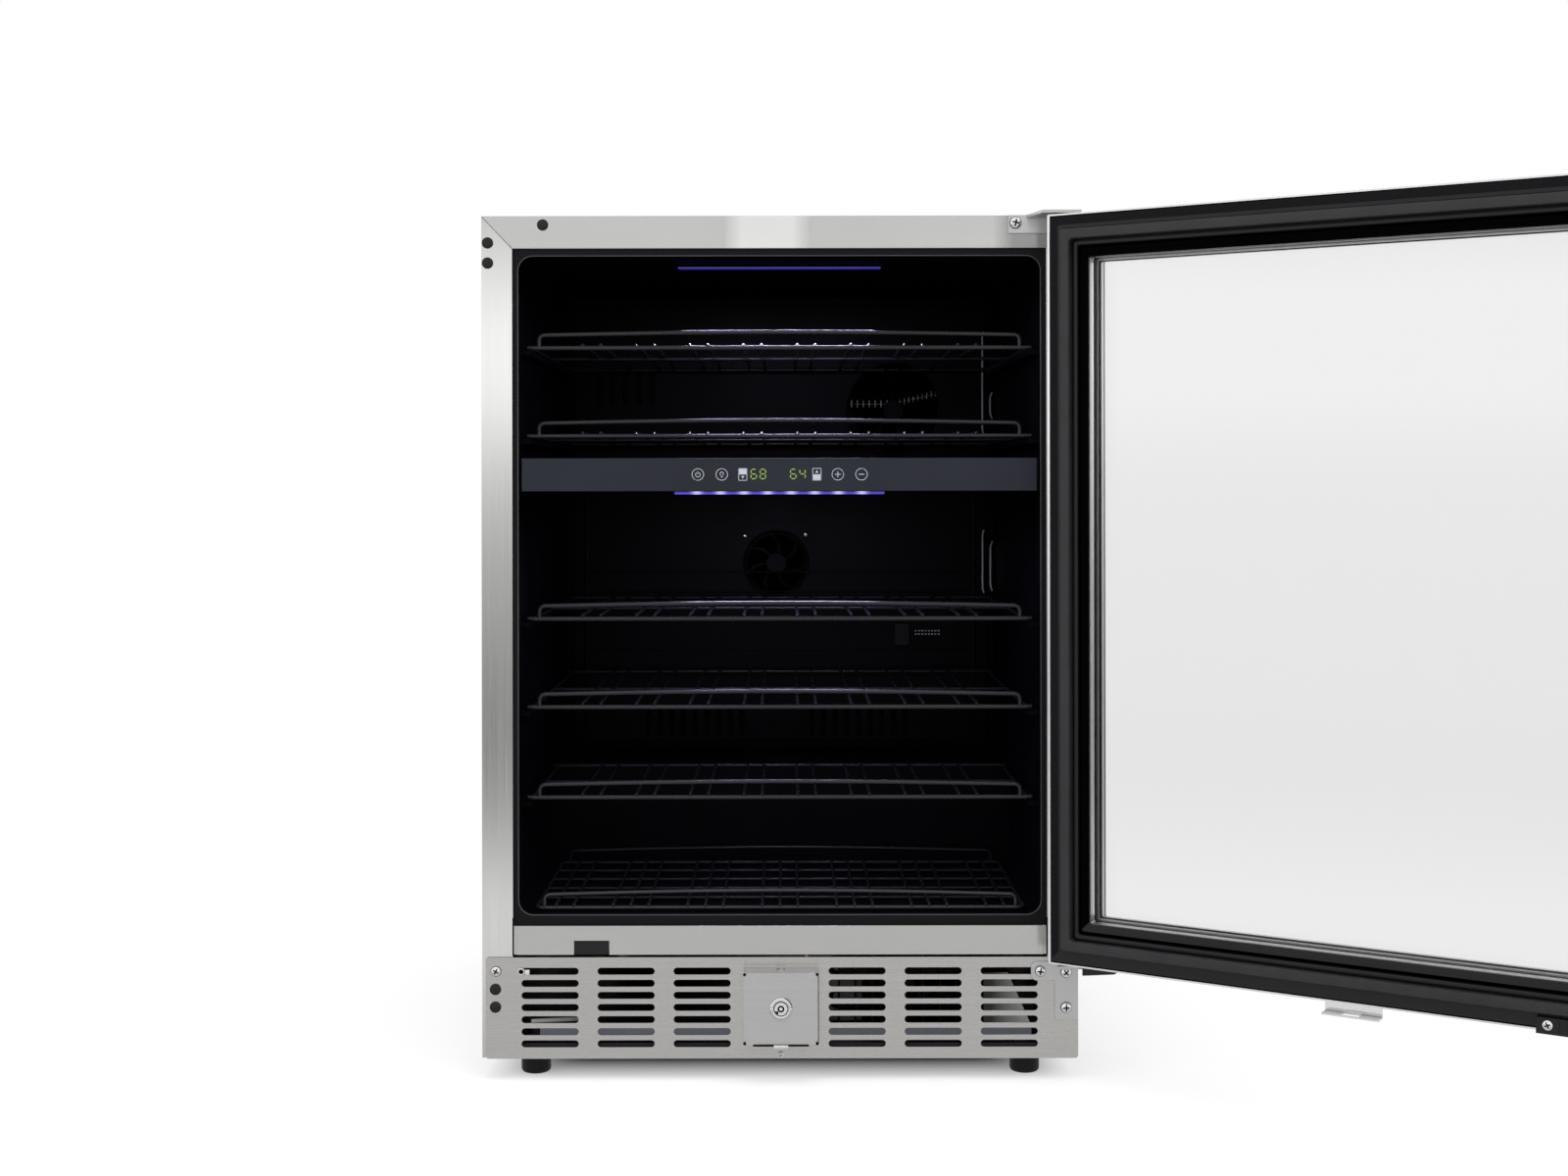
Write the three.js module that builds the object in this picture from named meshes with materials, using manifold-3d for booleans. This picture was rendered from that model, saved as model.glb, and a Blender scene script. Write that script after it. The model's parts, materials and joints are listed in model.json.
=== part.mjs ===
// Undercounter refrigerator: a 24-inch built-in dual-zone beverage and wine cooler with a glass door.
// Millimetres. +X is to the right seen from the front, +Y goes into the cabinet, +Z is up.
// The origin is on the floor, half way across the cabinet, in the plane of the front frame.
// The door is modelled closed inside a group that turns it about its hinge pins to the rest angle.
import * as THREE from "three";
import { mergeVertices } from "three/addons/utils/BufferGeometryUtils.js";
import Module from "manifold-3d";

const wasm = await Module();
wasm.setup();

// ---------- Driving dimensions ----------

const GAP = 0.3; // clearance between pieces that rest on or in each other
const SHEET = 1.2; // sheet steel
const PLATE = 2; // bracket steel and moulded walls

const cabinet = { halfWidth: 297.5, height: 864, depth: 529.5, base: 23 };
const stileWidth = 30.8;
const frame = { innerX: cabinet.halfWidth - stileWidth, top: 831.5, sill: 155, sillFoot: 126, lip: 14 };
const cavity = { halfWidth: 261.7, floor: 165, ceiling: 824.6, depth: 465, cornerRadius: 15 };
const hump = { front: 290, top: 274 }; // step in the cavity over the machine bay
const machineBay = { front: 330, ceiling: 246, frontCeiling: 126.4 };
const kick = { top: 124, back: -0.5, front: -2, left: -293.8, right: 297.3 };
const shellSheet = 1; // the painted outer shell
const lockBox = { middle: 0.8, halfWidth: 37, bottom: 43, top: 113.5, front: -24.5, back: -2.3, wall: 2 };
const lockCylinder = { z: 78.5, radius: 7, ringRadius: 11 };
const lockBolt = { y: -9, radius: 4, bottom: 84 };

const door = {
  halfWidth: 297.5,
  bottom: 126.5,
  top: 859,
  front: -50,
  back: -9,
  skin: 1.5,
  rail: 43.5, // width of the frame around the window
};
const hinge = { x: 284.5, y: -30, pinRadius: 4, openDegrees: 148 };
const glass = { cover: 8.5, pane: 4, outerFront: -44, innerBack: -22, spacerWidth: 11.3 };
const gasket = { inset: 15.9, width: 10.4, back: -0.6, seat: -13 };
const handle = { x: -268, y: -88, radius: 8, bottom: 250, top: 735, postInset: 40, postRadius: 6 };

const divider = { bottom: 589, top: 622, front: 10.5 };
const fascia = { halfWidth: 257.5, front: 2, back: 7.5 };
const led = { halfLength: 106, width: 14, thickness: 3 };
const duct = { front: 445, back: cavity.depth - GAP, halfWidth: 250, wall: 2 };
const upperFan = { x: 138, z: 687, opening: 56, radius: 50 };
const lowerFan = { x: -5, z: 500, opening: 39, radius: 35 };
const condenserFan = { x: 155, z: 75, opening: 44, radius: 41, plane: 100 };

const shelfHeights = { shelf_1: 735, shelf_2: 645, shelf_3: 459, shelf_4: 369, shelf_5: 277 };
const shelf = {
  halfWidth: 256,
  front: 42,
  back: 435,
  shortBack: 275, // the lowest shelf stops in front of the hump
  wire: 2.5, // radius of the frame wire
  thinWire: 1.7,
  pairs: 8,
  pairPitch: 54.8,
  pairGap: 18.5,
};
const rack = { halfWidth: 246, postInset: 8, front: 25, back: 268, wire: 2.3 };
const foot = { x: 248, frontY: 37, backY: 495, radius: 15, height: 22.6, stemRadius: 4, stemTop: 60 };

// ---------- Shape helpers ----------

// Turns a closed three.js geometry into a solid that can be joined and cut.
function solid(geometry) {
  const plain = geometry.clone();
  plain.deleteAttribute("normal");
  plain.deleteAttribute("uv");
  const merged = mergeVertices(plain, 1e-4);
  return new wasm.Manifold(
    new wasm.Mesh({
      numProp: 3,
      vertProperties: merged.attributes.position.array,
      triVerts: new Uint32Array(merged.index.array),
    }),
  );
}

function box([x0, x1], [y0, y1], [z0, z1]) {
  const geometry = new THREE.BoxGeometry(x1 - x0, y1 - y0, z1 - z0);
  return solid(geometry.translate((x0 + x1) / 2, (y0 + y1) / 2, (z0 + z1) / 2));
}

function join(solids) {
  return solids.reduce((whole, piece) => whole.add(piece));
}

function cut(body, tools) {
  return tools.reduce((left, tool) => left.subtract(tool), body);
}

// A round bar from point a to point b.
function rod(a, b, radius, sides = 20) {
  const start = new THREE.Vector3(...a);
  const end = new THREE.Vector3(...b);
  const along = end.clone().sub(start);
  const geometry = new THREE.CylinderGeometry(radius, radius, along.length(), sides);
  const turn = new THREE.Quaternion().setFromUnitVectors(
    new THREE.Vector3(0, 1, 0),
    along.clone().normalize(),
  );
  geometry.applyQuaternion(turn);
  const middle = start.add(end).multiplyScalar(0.5);
  return solid(geometry.translate(middle.x, middle.y, middle.z));
}

// A square-section wire between two points that share two coordinates.
function wire(a, b, radius) {
  const span = (i) => [Math.min(a[i], b[i]) - radius, Math.max(a[i], b[i]) + radius];
  return box(span(0), span(1), span(2));
}

// A rectangle in the XZ plane with rounded corners.
function roundedOutline([x0, x1], [z0, z1], radius) {
  const outline = new THREE.Shape();
  outline.moveTo(x0 + radius, z0);
  outline.lineTo(x1 - radius, z0);
  outline.absarc(x1 - radius, z0 + radius, radius, -Math.PI / 2, 0);
  outline.lineTo(x1, z1 - radius);
  outline.absarc(x1 - radius, z1 - radius, radius, 0, Math.PI / 2);
  outline.lineTo(x0 + radius, z1);
  outline.absarc(x0 + radius, z1 - radius, radius, Math.PI / 2, Math.PI);
  outline.lineTo(x0, z0 + radius);
  outline.absarc(x0 + radius, z0 + radius, radius, Math.PI, Math.PI * 1.5);
  return outline;
}

// Extrudes an outline drawn in X and Z from depth y0 to depth y1.
function extrudeAlongY(outline, [y0, y1]) {
  const geometry = new THREE.ExtrudeGeometry(outline, {
    depth: y1 - y0,
    bevelEnabled: false,
    curveSegments: 2,
  });
  return solid(geometry.rotateX(Math.PI / 2).translate(0, y1, 0));
}

// Extrudes an outline drawn in Y and Z across the cabinet from x0 to x1.
function extrudeAlongX(outline, [x0, x1]) {
  const geometry = new THREE.ExtrudeGeometry(outline, { depth: x1 - x0, bevelEnabled: false });
  geometry.rotateZ(Math.PI / 2).rotateY(Math.PI / 2);
  return solid(geometry.translate(x0, 0, 0));
}

// Extrudes an outline drawn in X and Y upwards from z0 to z1.
function extrudeAlongZ(outline, [z0, z1]) {
  const geometry = new THREE.ExtrudeGeometry(outline, { depth: z1 - z0, bevelEnabled: false });
  return solid(geometry.translate(0, 0, z0));
}

function polygon(points) {
  return new THREE.Shape(points.map(([a, b]) => new THREE.Vector2(a, b)));
}

// A turned piece: profile points are [radius, distance along Y from `at`], facing the -Y side.
function turned(profile, [x, y, z], sides = 20) {
  const geometry = new THREE.LatheGeometry(
    profile.map(([radius, along]) => new THREE.Vector2(radius, along)),
    sides,
  );
  return solid(geometry.translate(x, y, z));
}

// A long vent slot with pointed ends, centred on height z.
function slot([x0, x1], z, height, depth) {
  const half = height / 2;
  const outline = polygon([
    [x0 + half / 2, z - half],
    [x1 - half / 2, z - half],
    [x1, z],
    [x1 - half / 2, z + half],
    [x0 + half / 2, z + half],
    [x0, z],
  ]);
  return extrudeAlongY(outline, depth);
}

// ---------- Finishes and nodes ----------

const finishes = {
  stainless: { color: 0xb9b9b5, roughness: 0.32, metalness: 1 },
  bracketSteel: { color: 0xc4c4c0, roughness: 0.28, metalness: 1 },
  screwSteel: { color: 0xd6d6d4, roughness: 0.18, metalness: 1 },
  galvanised: { color: 0x8f9296, roughness: 0.5, metalness: 0.8 },
  blackSheet: { color: 0x1b1c1e, roughness: 0.55, metalness: 0.3 },
  blackPlastic: { color: 0x0d0d10, roughness: 0.45, metalness: 0 },
  fasciaPlastic: { color: 0x22242e, roughness: 0.35, metalness: 0 },
  blackWire: { color: 0x141416, roughness: 0.35, metalness: 0.2 },
  sealRubber: { color: 0x37373a, roughness: 0.7, metalness: 0 },
  foam: { color: 0xd9c98c, roughness: 0.9, metalness: 0 },
  glass: { color: 0xdfe6e6, roughness: 0.03, metalness: 0 },
  aluminium: { color: 0xc2c4c6, roughness: 0.35, metalness: 1 },
  copper: { color: 0xb0673a, roughness: 0.35, metalness: 1 },
  circuitBoard: { color: 0x14452a, roughness: 0.6, metalness: 0 },
  ledLens: { color: 0x3b2fd0, roughness: 0.3, metalness: 0 },
};

function node(name, body, finish) {
  const made = body.getMesh();
  const geometry = new THREE.BufferGeometry();
  geometry.setAttribute("position", new THREE.BufferAttribute(made.vertProperties, 3));
  geometry.setIndex(new THREE.BufferAttribute(made.triVerts, 1));
  geometry.computeVertexNormals();
  const mesh = new THREE.Mesh(geometry, new THREE.MeshStandardMaterial(finishes[finish]));
  mesh.name = name;
  return mesh;
}

const both = (half) => [-half, half];
const between = (a, b) => [Math.min(a, b), Math.max(a, b)];

// ---------- Cabinet shell ----------

function outerShell() {
  const { halfWidth, height, depth, base } = cabinet;
  const sleeve = box(both(halfWidth), [SHEET + GAP, depth], [base, height]);
  const inside = box(both(halfWidth - shellSheet), [0, depth + 1], [0, height - shellSheet]);
  return node("outer_shell", sleeve.subtract(inside), "blackSheet");
}

const rearSheet = [cabinet.depth - 1 - SHEET, cabinet.depth - 1];

function backPanel() {
  const sheet = box(both(296), rearSheet, [machineBay.ceiling + 2, cabinet.height - shellSheet - GAP]);
  return node("back_panel", sheet, "galvanised");
}

const powerInlet = { x: [195, 245], z: [60, 92] };

function machineCover() {
  const louvres = [];
  for (let row = 0; row < 8; row += 1) {
    for (const middle of [-150, 40]) {
      louvres.push(slot([middle - 60, middle + 60], 70 + row * 20, 8, [rearSheet[0] - 1, rearSheet[1] + 1]));
    }
  }
  const inletHole = box(
    [powerInlet.x[0] - 1, powerInlet.x[1] + 1],
    [rearSheet[0] - 1, rearSheet[1] + 1],
    [powerInlet.z[0] - 1, powerInlet.z[1] + 1],
  );
  const sheet = box(both(294), rearSheet, [38, machineBay.ceiling]);
  return node("machine_cover", cut(sheet, [...louvres, inletHole]), "galvanised");
}

// The sheet under the foam: flat in front, then up and over the machine bay.
function machineBayPanel() {
  const { front, ceiling, frontCeiling } = machineBay;
  const outline = polygon([
    [16, frontCeiling],
    [front, frontCeiling],
    [front, ceiling],
    [rearSheet[0] - GAP, ceiling],
    [rearSheet[0] - GAP, ceiling + SHEET],
    [front - SHEET, ceiling + SHEET],
    [front - SHEET, frontCeiling + SHEET],
    [16, frontCeiling + SHEET],
  ]);
  return node("machine_bay_panel", extrudeAlongX(outline, both(296)), "galvanised");
}

// ---------- Cavity ----------

// The cavity's space, grown outwards by `grow`, open towards the front.
function cavitySpace(grow, front) {
  const outline = roundedOutline(
    both(cavity.halfWidth + grow),
    [cavity.floor - grow, cavity.ceiling + grow],
    cavity.cornerRadius + grow,
  );
  const room = extrudeAlongY(outline, [front, cavity.depth + grow]);
  const step = box(both(400), [hump.front + grow, cavity.depth + 50], [0, hump.top - grow]);
  return room.subtract(step);
}

function shelfLedges() {
  const ledges = [];
  for (const [name, height] of Object.entries(shelfHeights)) {
    const back = name === "shelf_5" ? shelf.shortBack : shelf.back;
    const top = height - shelf.wire - GAP;
    for (const side of [-1, 1]) {
      const reach = between(side * (shelf.halfWidth - 4), side * (cavity.halfWidth + 0.5));
      ledges.push(box(reach, [30, back - 4], [top - 5, top]));
    }
  }
  return ledges;
}

function innerLiner() {
  const wall = PLATE;
  const flange = extrudeAlongY(
    roundedOutline(both(frame.innerX - GAP), [frame.sill + GAP, frame.top - GAP], 4),
    [3, 3 + wall],
  );
  const tub = cavitySpace(wall, 3).add(flange).subtract(cavitySpace(0, -1));
  return node("inner_liner", join([tub, ...shelfLedges()]), "blackPlastic");
}

function foamInsulation() {
  const front = frame.lip + 2;
  const back = rearSheet[0] - GAP;
  const low = machineBay.frontCeiling + SHEET + GAP;
  const high = machineBay.ceiling + SHEET + GAP;
  const top = cabinet.height - shellSheet - GAP;
  const outline = polygon([
    [front, low],
    [machineBay.front - SHEET - GAP, low],
    [machineBay.front - SHEET - GAP, high],
    [back, high],
    [back, top],
    [front, top],
  ]);
  const block = extrudeAlongX(outline, both(cabinet.halfWidth - shellSheet - GAP));
  return node("foam_insulation", block.subtract(cavitySpace(PLATE + GAP, 0)), "foam");
}

// ---------- Front frame ----------

// Holes for the other hinge side, as [x, z]; each is closed by a small plastic plug.
const plugHoles = {
  left: [[-291.2, 837.2], [-291.2, 817.1]],
  top: [[-236.1, 855.1]],
  kick: [[-284, 92.3], [-284, 74.6]],
};
const topScrew = [236, 856.3];
const kickScrew = [-283.5, 110.3];
const MITRE_GAP = 0.4;

function screwHole([x, z], [y0, y1]) {
  return rod([x, y0, z], [x, y1, z], 2.3, 12);
}

function plugHole([x, z], [y0, y1]) {
  return rod([x, y0, z], [x, y1, z], 4, 16);
}

// A mitred stile; side is -1 for the left and 1 for the right.
function stile(side) {
  const { innerX, top, lip } = frame;
  const outer = cabinet.halfWidth;
  const outline = polygon([
    [side * innerX, cabinet.base + 1],
    [side * outer, cabinet.base + 1],
    [side * outer, cabinet.height - MITRE_GAP],
    [side * innerX, top - MITRE_GAP],
  ]);
  const face = extrudeAlongY(outline, [0, SHEET]);
  const span = between(side * (innerX + SHEET), side * innerX);
  return face.add(box(span, [0, lip], [frame.sill, top - MITRE_GAP]));
}

function frameLeft() {
  const through = [-2, 4];
  const low = [...plugHoles.kick.map((at) => plugHole(at, through)), screwHole(kickScrew, through)];
  const high = plugHoles.left.map((at) => plugHole(at, through));
  return node("front_frame_left", cut(stile(-1), [...low, ...high]), "stainless");
}

function frameRight() {
  const holes = Object.values(bottomScrews).map((at) => screwHole(at, [-2, 4]));
  return node("front_frame_right", cut(stile(1), holes), "stainless");
}

function frameTop() {
  const { innerX, top, lip } = frame;
  const outer = cabinet.halfWidth;
  const outline = polygon([
    [-innerX, top],
    [innerX, top],
    [outer, cabinet.height],
    [-outer, cabinet.height],
  ]);
  const face = extrudeAlongY(outline, [0, SHEET]);
  const lipSheet = box(both(innerX - 1), [0, lip], [top, top + SHEET]);
  const holes = [plugHole(plugHoles.top[0], [-2, 4]), screwHole(topScrew, [-2, 4])];
  return node("front_frame_top", cut(face.add(lipSheet), holes), "stainless");
}

// The bottom rail stops short of the stiles and runs on behind them as a joggled strip.
function frameBottom() {
  const { innerX, sill, sillFoot, lip } = frame;
  const end = innerX - 3.5;
  const behind = SHEET + GAP;
  const face = box(both(end), [0, SHEET], [sillFoot, sill]);
  const lipSheet = box(both(end), [0, lip], [sill - SHEET, sill]);
  const strips = [-1, 1].flatMap((side) => {
    const joggle = between(side * (end - 4), side * end);
    const tucked = between(side * (end - 4), side * (innerX + 6));
    return [
      box(joggle, [0, behind + SHEET], [sillFoot, sill]),
      box(tucked, [behind, behind + SHEET], [sillFoot, sill - GAP]),
    ];
  });
  const window = box([-205.7, -170.7], [-2, 4], [sillFoot - 1, sillFoot + 14]);
  return node("front_frame_bottom", join([face, lipSheet, ...strips]).subtract(window), "stainless");
}

// ---------- Base ----------

const feet = {
  foot_front_left: [-foot.x, foot.frontY],
  foot_front_right: [foot.x, foot.frontY],
  foot_back_left: [-foot.x, foot.backY],
  foot_back_right: [foot.x, foot.backY],
};

function basePan() {
  const { base } = cabinet;
  const half = cabinet.halfWidth - shellSheet - GAP;
  const [front, back] = [3, rearSheet[0] - GAP];
  const outer = box(both(half), [front, back], [base, base + 14]);
  const hollow = box(both(half - SHEET), [front + SHEET, back - SHEET], [base + SHEET, base + 50]);
  const places = Object.values(feet);
  const bosses = places.map(([x, y]) => rod([x, y, base], [x, y, base + 22], 9, 16));
  const holes = places.map(([x, y]) => rod([x, y, 0], [x, y, 90], foot.stemRadius + GAP, 16));
  const pan = join([outer.subtract(hollow), ...bosses]);
  return node("base_pan", cut(pan, holes), "galvanised");
}

function levellingFoot(name, [x, y]) {
  const profile = [
    [0, 0],
    [foot.radius - 3, 0],
    [foot.radius, 4],
    [foot.radius, foot.height - 2],
    [foot.radius - 2, foot.height],
    [foot.stemRadius, foot.height],
    [foot.stemRadius, foot.stemTop],
    [0, foot.stemTop],
  ];
  const geometry = new THREE.LatheGeometry(
    profile.map(([radius, z]) => new THREE.Vector2(radius, z)),
    16,
  );
  return node(name, solid(geometry.rotateX(Math.PI / 2).translate(x, y, 0)), "blackPlastic");
}

// ---------- Kick plate and lock ----------

// Three groups of slots on each side of `middle`; firstGroup is how far off the nearest one is.
const vent = {
  rows: 7,
  topRow: 110.2,
  rowPitch: 12.05,
  height: 7,
  length: 57,
  groups: 3,
  middle: -0.5,
  firstGroup: 77.3,
  groupPitch: 75.85,
};
const bottomScrews = {
  bottom_hinge_screw_1: [259.3, 110.2],
  bottom_hinge_screw_2: [284.9, 109.1],
  bottom_hinge_screw_3: [284.9, 74.1],
};

function kickPlate() {
  const span = [kick.front - 1, kick.back + 1];
  const sheet = extrudeAlongY(
    roundedOutline([kick.left, kick.right], [cabinet.base, kick.top], 2),
    [kick.front, kick.back],
  );
  const cuts = [];
  for (let row = 0; row < vent.rows; row += 1) {
    const z = vent.topRow - row * vent.rowPitch;
    for (const side of [-1, 1]) {
      for (let group = 0; group < vent.groups; group += 1) {
        const middle = vent.middle + side * (vent.firstGroup + group * vent.groupPitch);
        cuts.push(slot([middle - vent.length / 2, middle + vent.length / 2], z, vent.height, span));
      }
    }
  }
  for (const at of [kickScrew, ...Object.values(bottomScrews)]) {
    cuts.push(screwHole(at, span));
  }
  for (const at of plugHoles.kick) {
    cuts.push(plugHole(at, span));
  }
  return node("kick_plate", cut(sheet, cuts), "stainless");
}

function lockHousing() {
  const { middle: x, halfWidth, bottom, top, front, back, wall } = lockBox;
  const width = (half) => [x - half, x + half];
  const shell = box(width(halfWidth), [front, back], [bottom, top]);
  const room = box(width(halfWidth - wall), [front + wall, back + 1], [bottom + wall, top - wall]);
  const { z, radius, ringRadius } = lockCylinder;
  const ring = rod([x, front - 1.5, z], [x, front + 0.5, z], ringRadius, 28);
  const barrelHole = rod([x, front - 4, z], [x, front + 4, z], radius + GAP, 24);
  const boltHole = rod([x, lockBolt.y, top - 5], [x, lockBolt.y, top + 5], lockBolt.radius + GAP, 16);
  return node("lock_housing", cut(shell.subtract(room).add(ring), [barrelHole, boltHole]), "bracketSteel");
}

function lockBarrel() {
  const { z, radius } = lockCylinder;
  const { middle: x, front } = lockBox;
  const barrel = rod([x, front - 2, z], [x, front + 5, z], radius, 24);
  const keyway = box([x - 0.9, x + 0.9], [front - 3, front + 2], [z - 4.5, z + 4.5]);
  return node("lock_cylinder", barrel.subtract(keyway), "screwSteel");
}

function lockBoltPin() {
  const { y, radius, bottom } = lockBolt;
  const { middle: x, top } = lockBox;
  return node("lock_bolt", rod([x, y, bottom], [x, y, top - GAP], radius, 16), "screwSteel");
}

// ---------- Hinge brackets ----------

// A pan-head screw at [x, z] whose head rests at depth y.
function panScrew(name, [x, z], y) {
  const head = [
    [0, 7],
    [2, 7],
    [2, 0],
    [4.9, 0],
    [4.9, -0.8],
    [3.8, -2.2],
    [2, -2.9],
    [0, -3],
  ];
  return node(name, turned(head.reverse(), [x, y, z], 16), "screwSteel");
}

function topHingeBracket() {
  const { x, y, pinRadius } = hinge;
  const armBottom = door.top + 2;
  const flange = box([228.7, 296], [-GAP - PLATE, -GAP], [846, cabinet.height]);
  const arm = extrudeAlongZ(
    polygon([
      [246, -GAP],
      [258, -42],
      [296, -42],
      [296, -GAP],
    ]),
    [armBottom, cabinet.height],
  );
  const pin = rod([x, y, armBottom + 1], [x, y, door.top - 10], pinRadius, 16);
  const hole = screwHole(topScrew, [-4, 2]);
  return node("top_hinge_bracket", join([flange, arm, pin]).subtract(hole), "bracketSteel");
}

function bottomHingeBracket() {
  const { x, y, pinRadius } = hinge;
  const sheet = [kick.front - GAP - PLATE, kick.front - GAP];
  const across = extrudeAlongY(roundedOutline([250, 297], [100.7, 119.6], 6), sheet);
  const down = box([273.6, 297], sheet, [61.8, 118]);
  const up = box([272, 297], sheet, [110, 124]);
  const arm = box([272, 297], [-42, sheet[1]], [121, 124]);
  const pin = rod([x, y, 122], [x, y, door.bottom + 8], pinRadius, 16);
  const holes = Object.values(bottomScrews).map((at) => screwHole(at, [-6, 0]));
  return node("bottom_hinge_bracket", cut(join([across, down, up, arm, pin]), holes), "bracketSteel");
}

// ---------- Cooling and controls ----------

function zoneDivider() {
  const depth = [divider.front, cavity.depth - GAP];
  const slab = box(both(cavity.halfWidth - 2 * GAP), depth, [divider.bottom, divider.top]);
  return node("zone_divider", slab, "blackPlastic");
}

function controlFascia() {
  const panel = box(both(fascia.halfWidth), [fascia.front, fascia.back], [divider.bottom, divider.top]);
  return node("control_fascia", panel, "fasciaPlastic");
}

function controlBoard() {
  const depth = [fascia.back + GAP, divider.front - GAP];
  const board = box(both(98), depth, [divider.bottom + 4, divider.top - 4]);
  return node("control_board", board, "circuitBoard");
}

// A light bar that hangs from the surface at height z.
function lightBar(name, y, z) {
  const bar = box(both(led.halfLength), [y, y + led.width], [z - GAP - led.thickness, z - GAP]);
  return node(name, bar, "ledLens");
}

// A moulded cover in front of the rear wall, open behind, with a spoked round fan opening.
function ductCover(name, [bottom, top], fan, slots) {
  const { front, back, halfWidth, wall } = duct;
  const shell = extrudeAlongY(roundedOutline(both(halfWidth), [bottom, top], 6), [front, back]);
  const room = box(both(halfWidth - wall), [front + wall, back + 1], [bottom + wall, top - wall]);
  const span = [front - 1, front + wall + 1];
  const opening = rod([fan.x, span[0], fan.z], [fan.x, span[1], fan.z], fan.opening, 32);
  const spokes = [0, 1, 2].map((i) => {
    const angle = Math.PI / 2 + (i * 2 * Math.PI) / 3;
    const reach = fan.opening + 2;
    const tip = [fan.x + reach * Math.cos(angle), front + wall / 2, fan.z + reach * Math.sin(angle)];
    return rod([fan.x, front + wall / 2, fan.z], tip, wall / 2, 6);
  });
  const boss = rod([fan.x, front, fan.z], [fan.x, front + wall, fan.z], 12, 20);
  const cover = cut(shell, [room, opening, ...slots]);
  return node(name, join([cover, boss, ...spokes]), "blackPlastic");
}

function upperDuctCover() {
  const slots = [];
  for (let column = 0; column < 5; column += 1) {
    const x = -224 + column * 16;
    slots.push(box([x, x + 7], [duct.front - 1, duct.front + duct.wall + 1], [694, 736]));
  }
  return ductCover("upper_duct_cover", [divider.top + GAP, 812], upperFan, slots);
}

function lowerDuctCover() {
  const slots = [];
  for (let column = 0; column < 9; column += 1) {
    for (const start of [-164, 35]) {
      const x = start + column * 14.2;
      slots.push(box([x, x + 6.5], [duct.front - 1, duct.front + duct.wall + 1], [290, 326]));
    }
  }
  return ductCover("lower_duct_cover", [hump.top + 12, divider.bottom - GAP], lowerFan, slots);
}

// A fan wheel: a hub and tilted blades that spin about the Y axis through (x, z).
function fanWheel(name, { x, z, radius }, y, blades, depth) {
  const hubRadius = radius * 0.32;
  const parts = [rod([x, y, z], [x, y + depth, z], hubRadius, 16)];
  for (let i = 0; i < blades; i += 1) {
    const blade = new THREE.BoxGeometry(radius - hubRadius, 1.4, depth * 1.6);
    blade.rotateX(0.42);
    blade.translate((radius + hubRadius) / 2 - 1.5, 0, 0);
    blade.rotateY((i * 2 * Math.PI) / blades);
    parts.push(solid(blade.translate(x, y + depth / 2, z)));
  }
  return node(name, join(parts), "blackPlastic");
}

// A roll-bond cooling plate with a raised serpentine channel.
function evaporator(name, [x0, x1], [z0, z1]) {
  const back = cavity.depth - GAP;
  const plate = box([x0, x1], [back - 1.2, back], [z0, z1]);
  const rows = 6;
  const pitch = (z1 - z0 - 20) / (rows - 1);
  const runs = [];
  for (let row = 0; row < rows; row += 1) {
    const z = z0 + 10 + row * pitch;
    runs.push(box([x0 + 10, x1 - 10], [back - 3.6, back - 1], [z - 3, z + 3]));
    if (row < rows - 1) {
      const x = row % 2 ? x0 + 13 : x1 - 13;
      runs.push(box([x - 3, x + 3], [back - 3.6, back - 1], [z, z + pitch]));
    }
  }
  return node(name, join([plate, ...runs]), "aluminium");
}

function temperatureSensor() {
  const outline = roundedOutline([139, 157], [400, 427], 3);
  const housing = extrudeAlongY(outline, [duct.front - 7, duct.front - GAP]);
  return node("temperature_sensor", housing, "blackPlastic");
}

const compressorPlace = { x: -130, y: 425, radius: 72, bottom: 30, top: 205 };

function compressor() {
  const { x, y, radius, bottom, top } = compressorPlace;
  const profile = [
    [0, bottom + 6],
    [radius - 24, bottom + 6],
    [radius - 6, bottom + 20],
    [radius - 6, 100],
    [radius, 102],
    [radius, 110],
    [radius - 6, 112],
    [radius - 6, top - 30],
    [radius - 26, top - 6],
    [0, top],
  ];
  const can = new THREE.LatheGeometry(
    profile.map(([r, z]) => new THREE.Vector2(r, z)),
    20,
  );
  can.rotateX(Math.PI / 2).translate(x, y, 0);
  const base = box([x - 84, x + 84], [y - 50, y + 50], [bottom, bottom + 8]);
  const relay = box([x + radius - 12, x + radius + 14], [y - 25, y + 25], [70, 130]);
  return node("compressor", join([solid(can), base, relay]), "blackSheet");
}

function dripPan() {
  const { x, y, top } = compressorPlace;
  const outer = box([x - 80, x + 80], [y - 60, y + 60], [top + 2, top + 26]);
  const inner = box([x - 78.5, x + 78.5], [y - 58.5, y + 58.5], [top + 3.5, top + 30]);
  return node("drip_pan", outer.subtract(inner), "blackPlastic");
}

const condenser = { x: [60, 230], y: [30, 72], z: [36, 116], fins: 10 };

function condenserCoil() {
  const pitch = (condenser.x[1] - condenser.x[0]) / condenser.fins;
  const spine = box(condenser.x, [48, 54], [52, 58]);
  const parts = [spine, box(condenser.x, [48, 54], [94, 100])];
  for (let fin = 0; fin <= condenser.fins; fin += 1) {
    const x = condenser.x[0] + fin * pitch;
    parts.push(box([x - 0.6, x + 0.6], condenser.y, condenser.z));
  }
  return node("condenser_coil", join(parts), "aluminium");
}

function condenserFanShroud() {
  const { x, z, opening, plane } = condenserFan;
  const span = [plane - 8, plane - 6];
  const sheet = box([x - 70, x + 70], span, [36, 120]);
  const mouth = rod([x, span[0] - 1, z + 2], [x, span[1] + 1, z + 2], opening - 6, 28);
  return node("condenser_fan_shroud", sheet.subtract(mouth), "galvanised");
}

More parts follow.
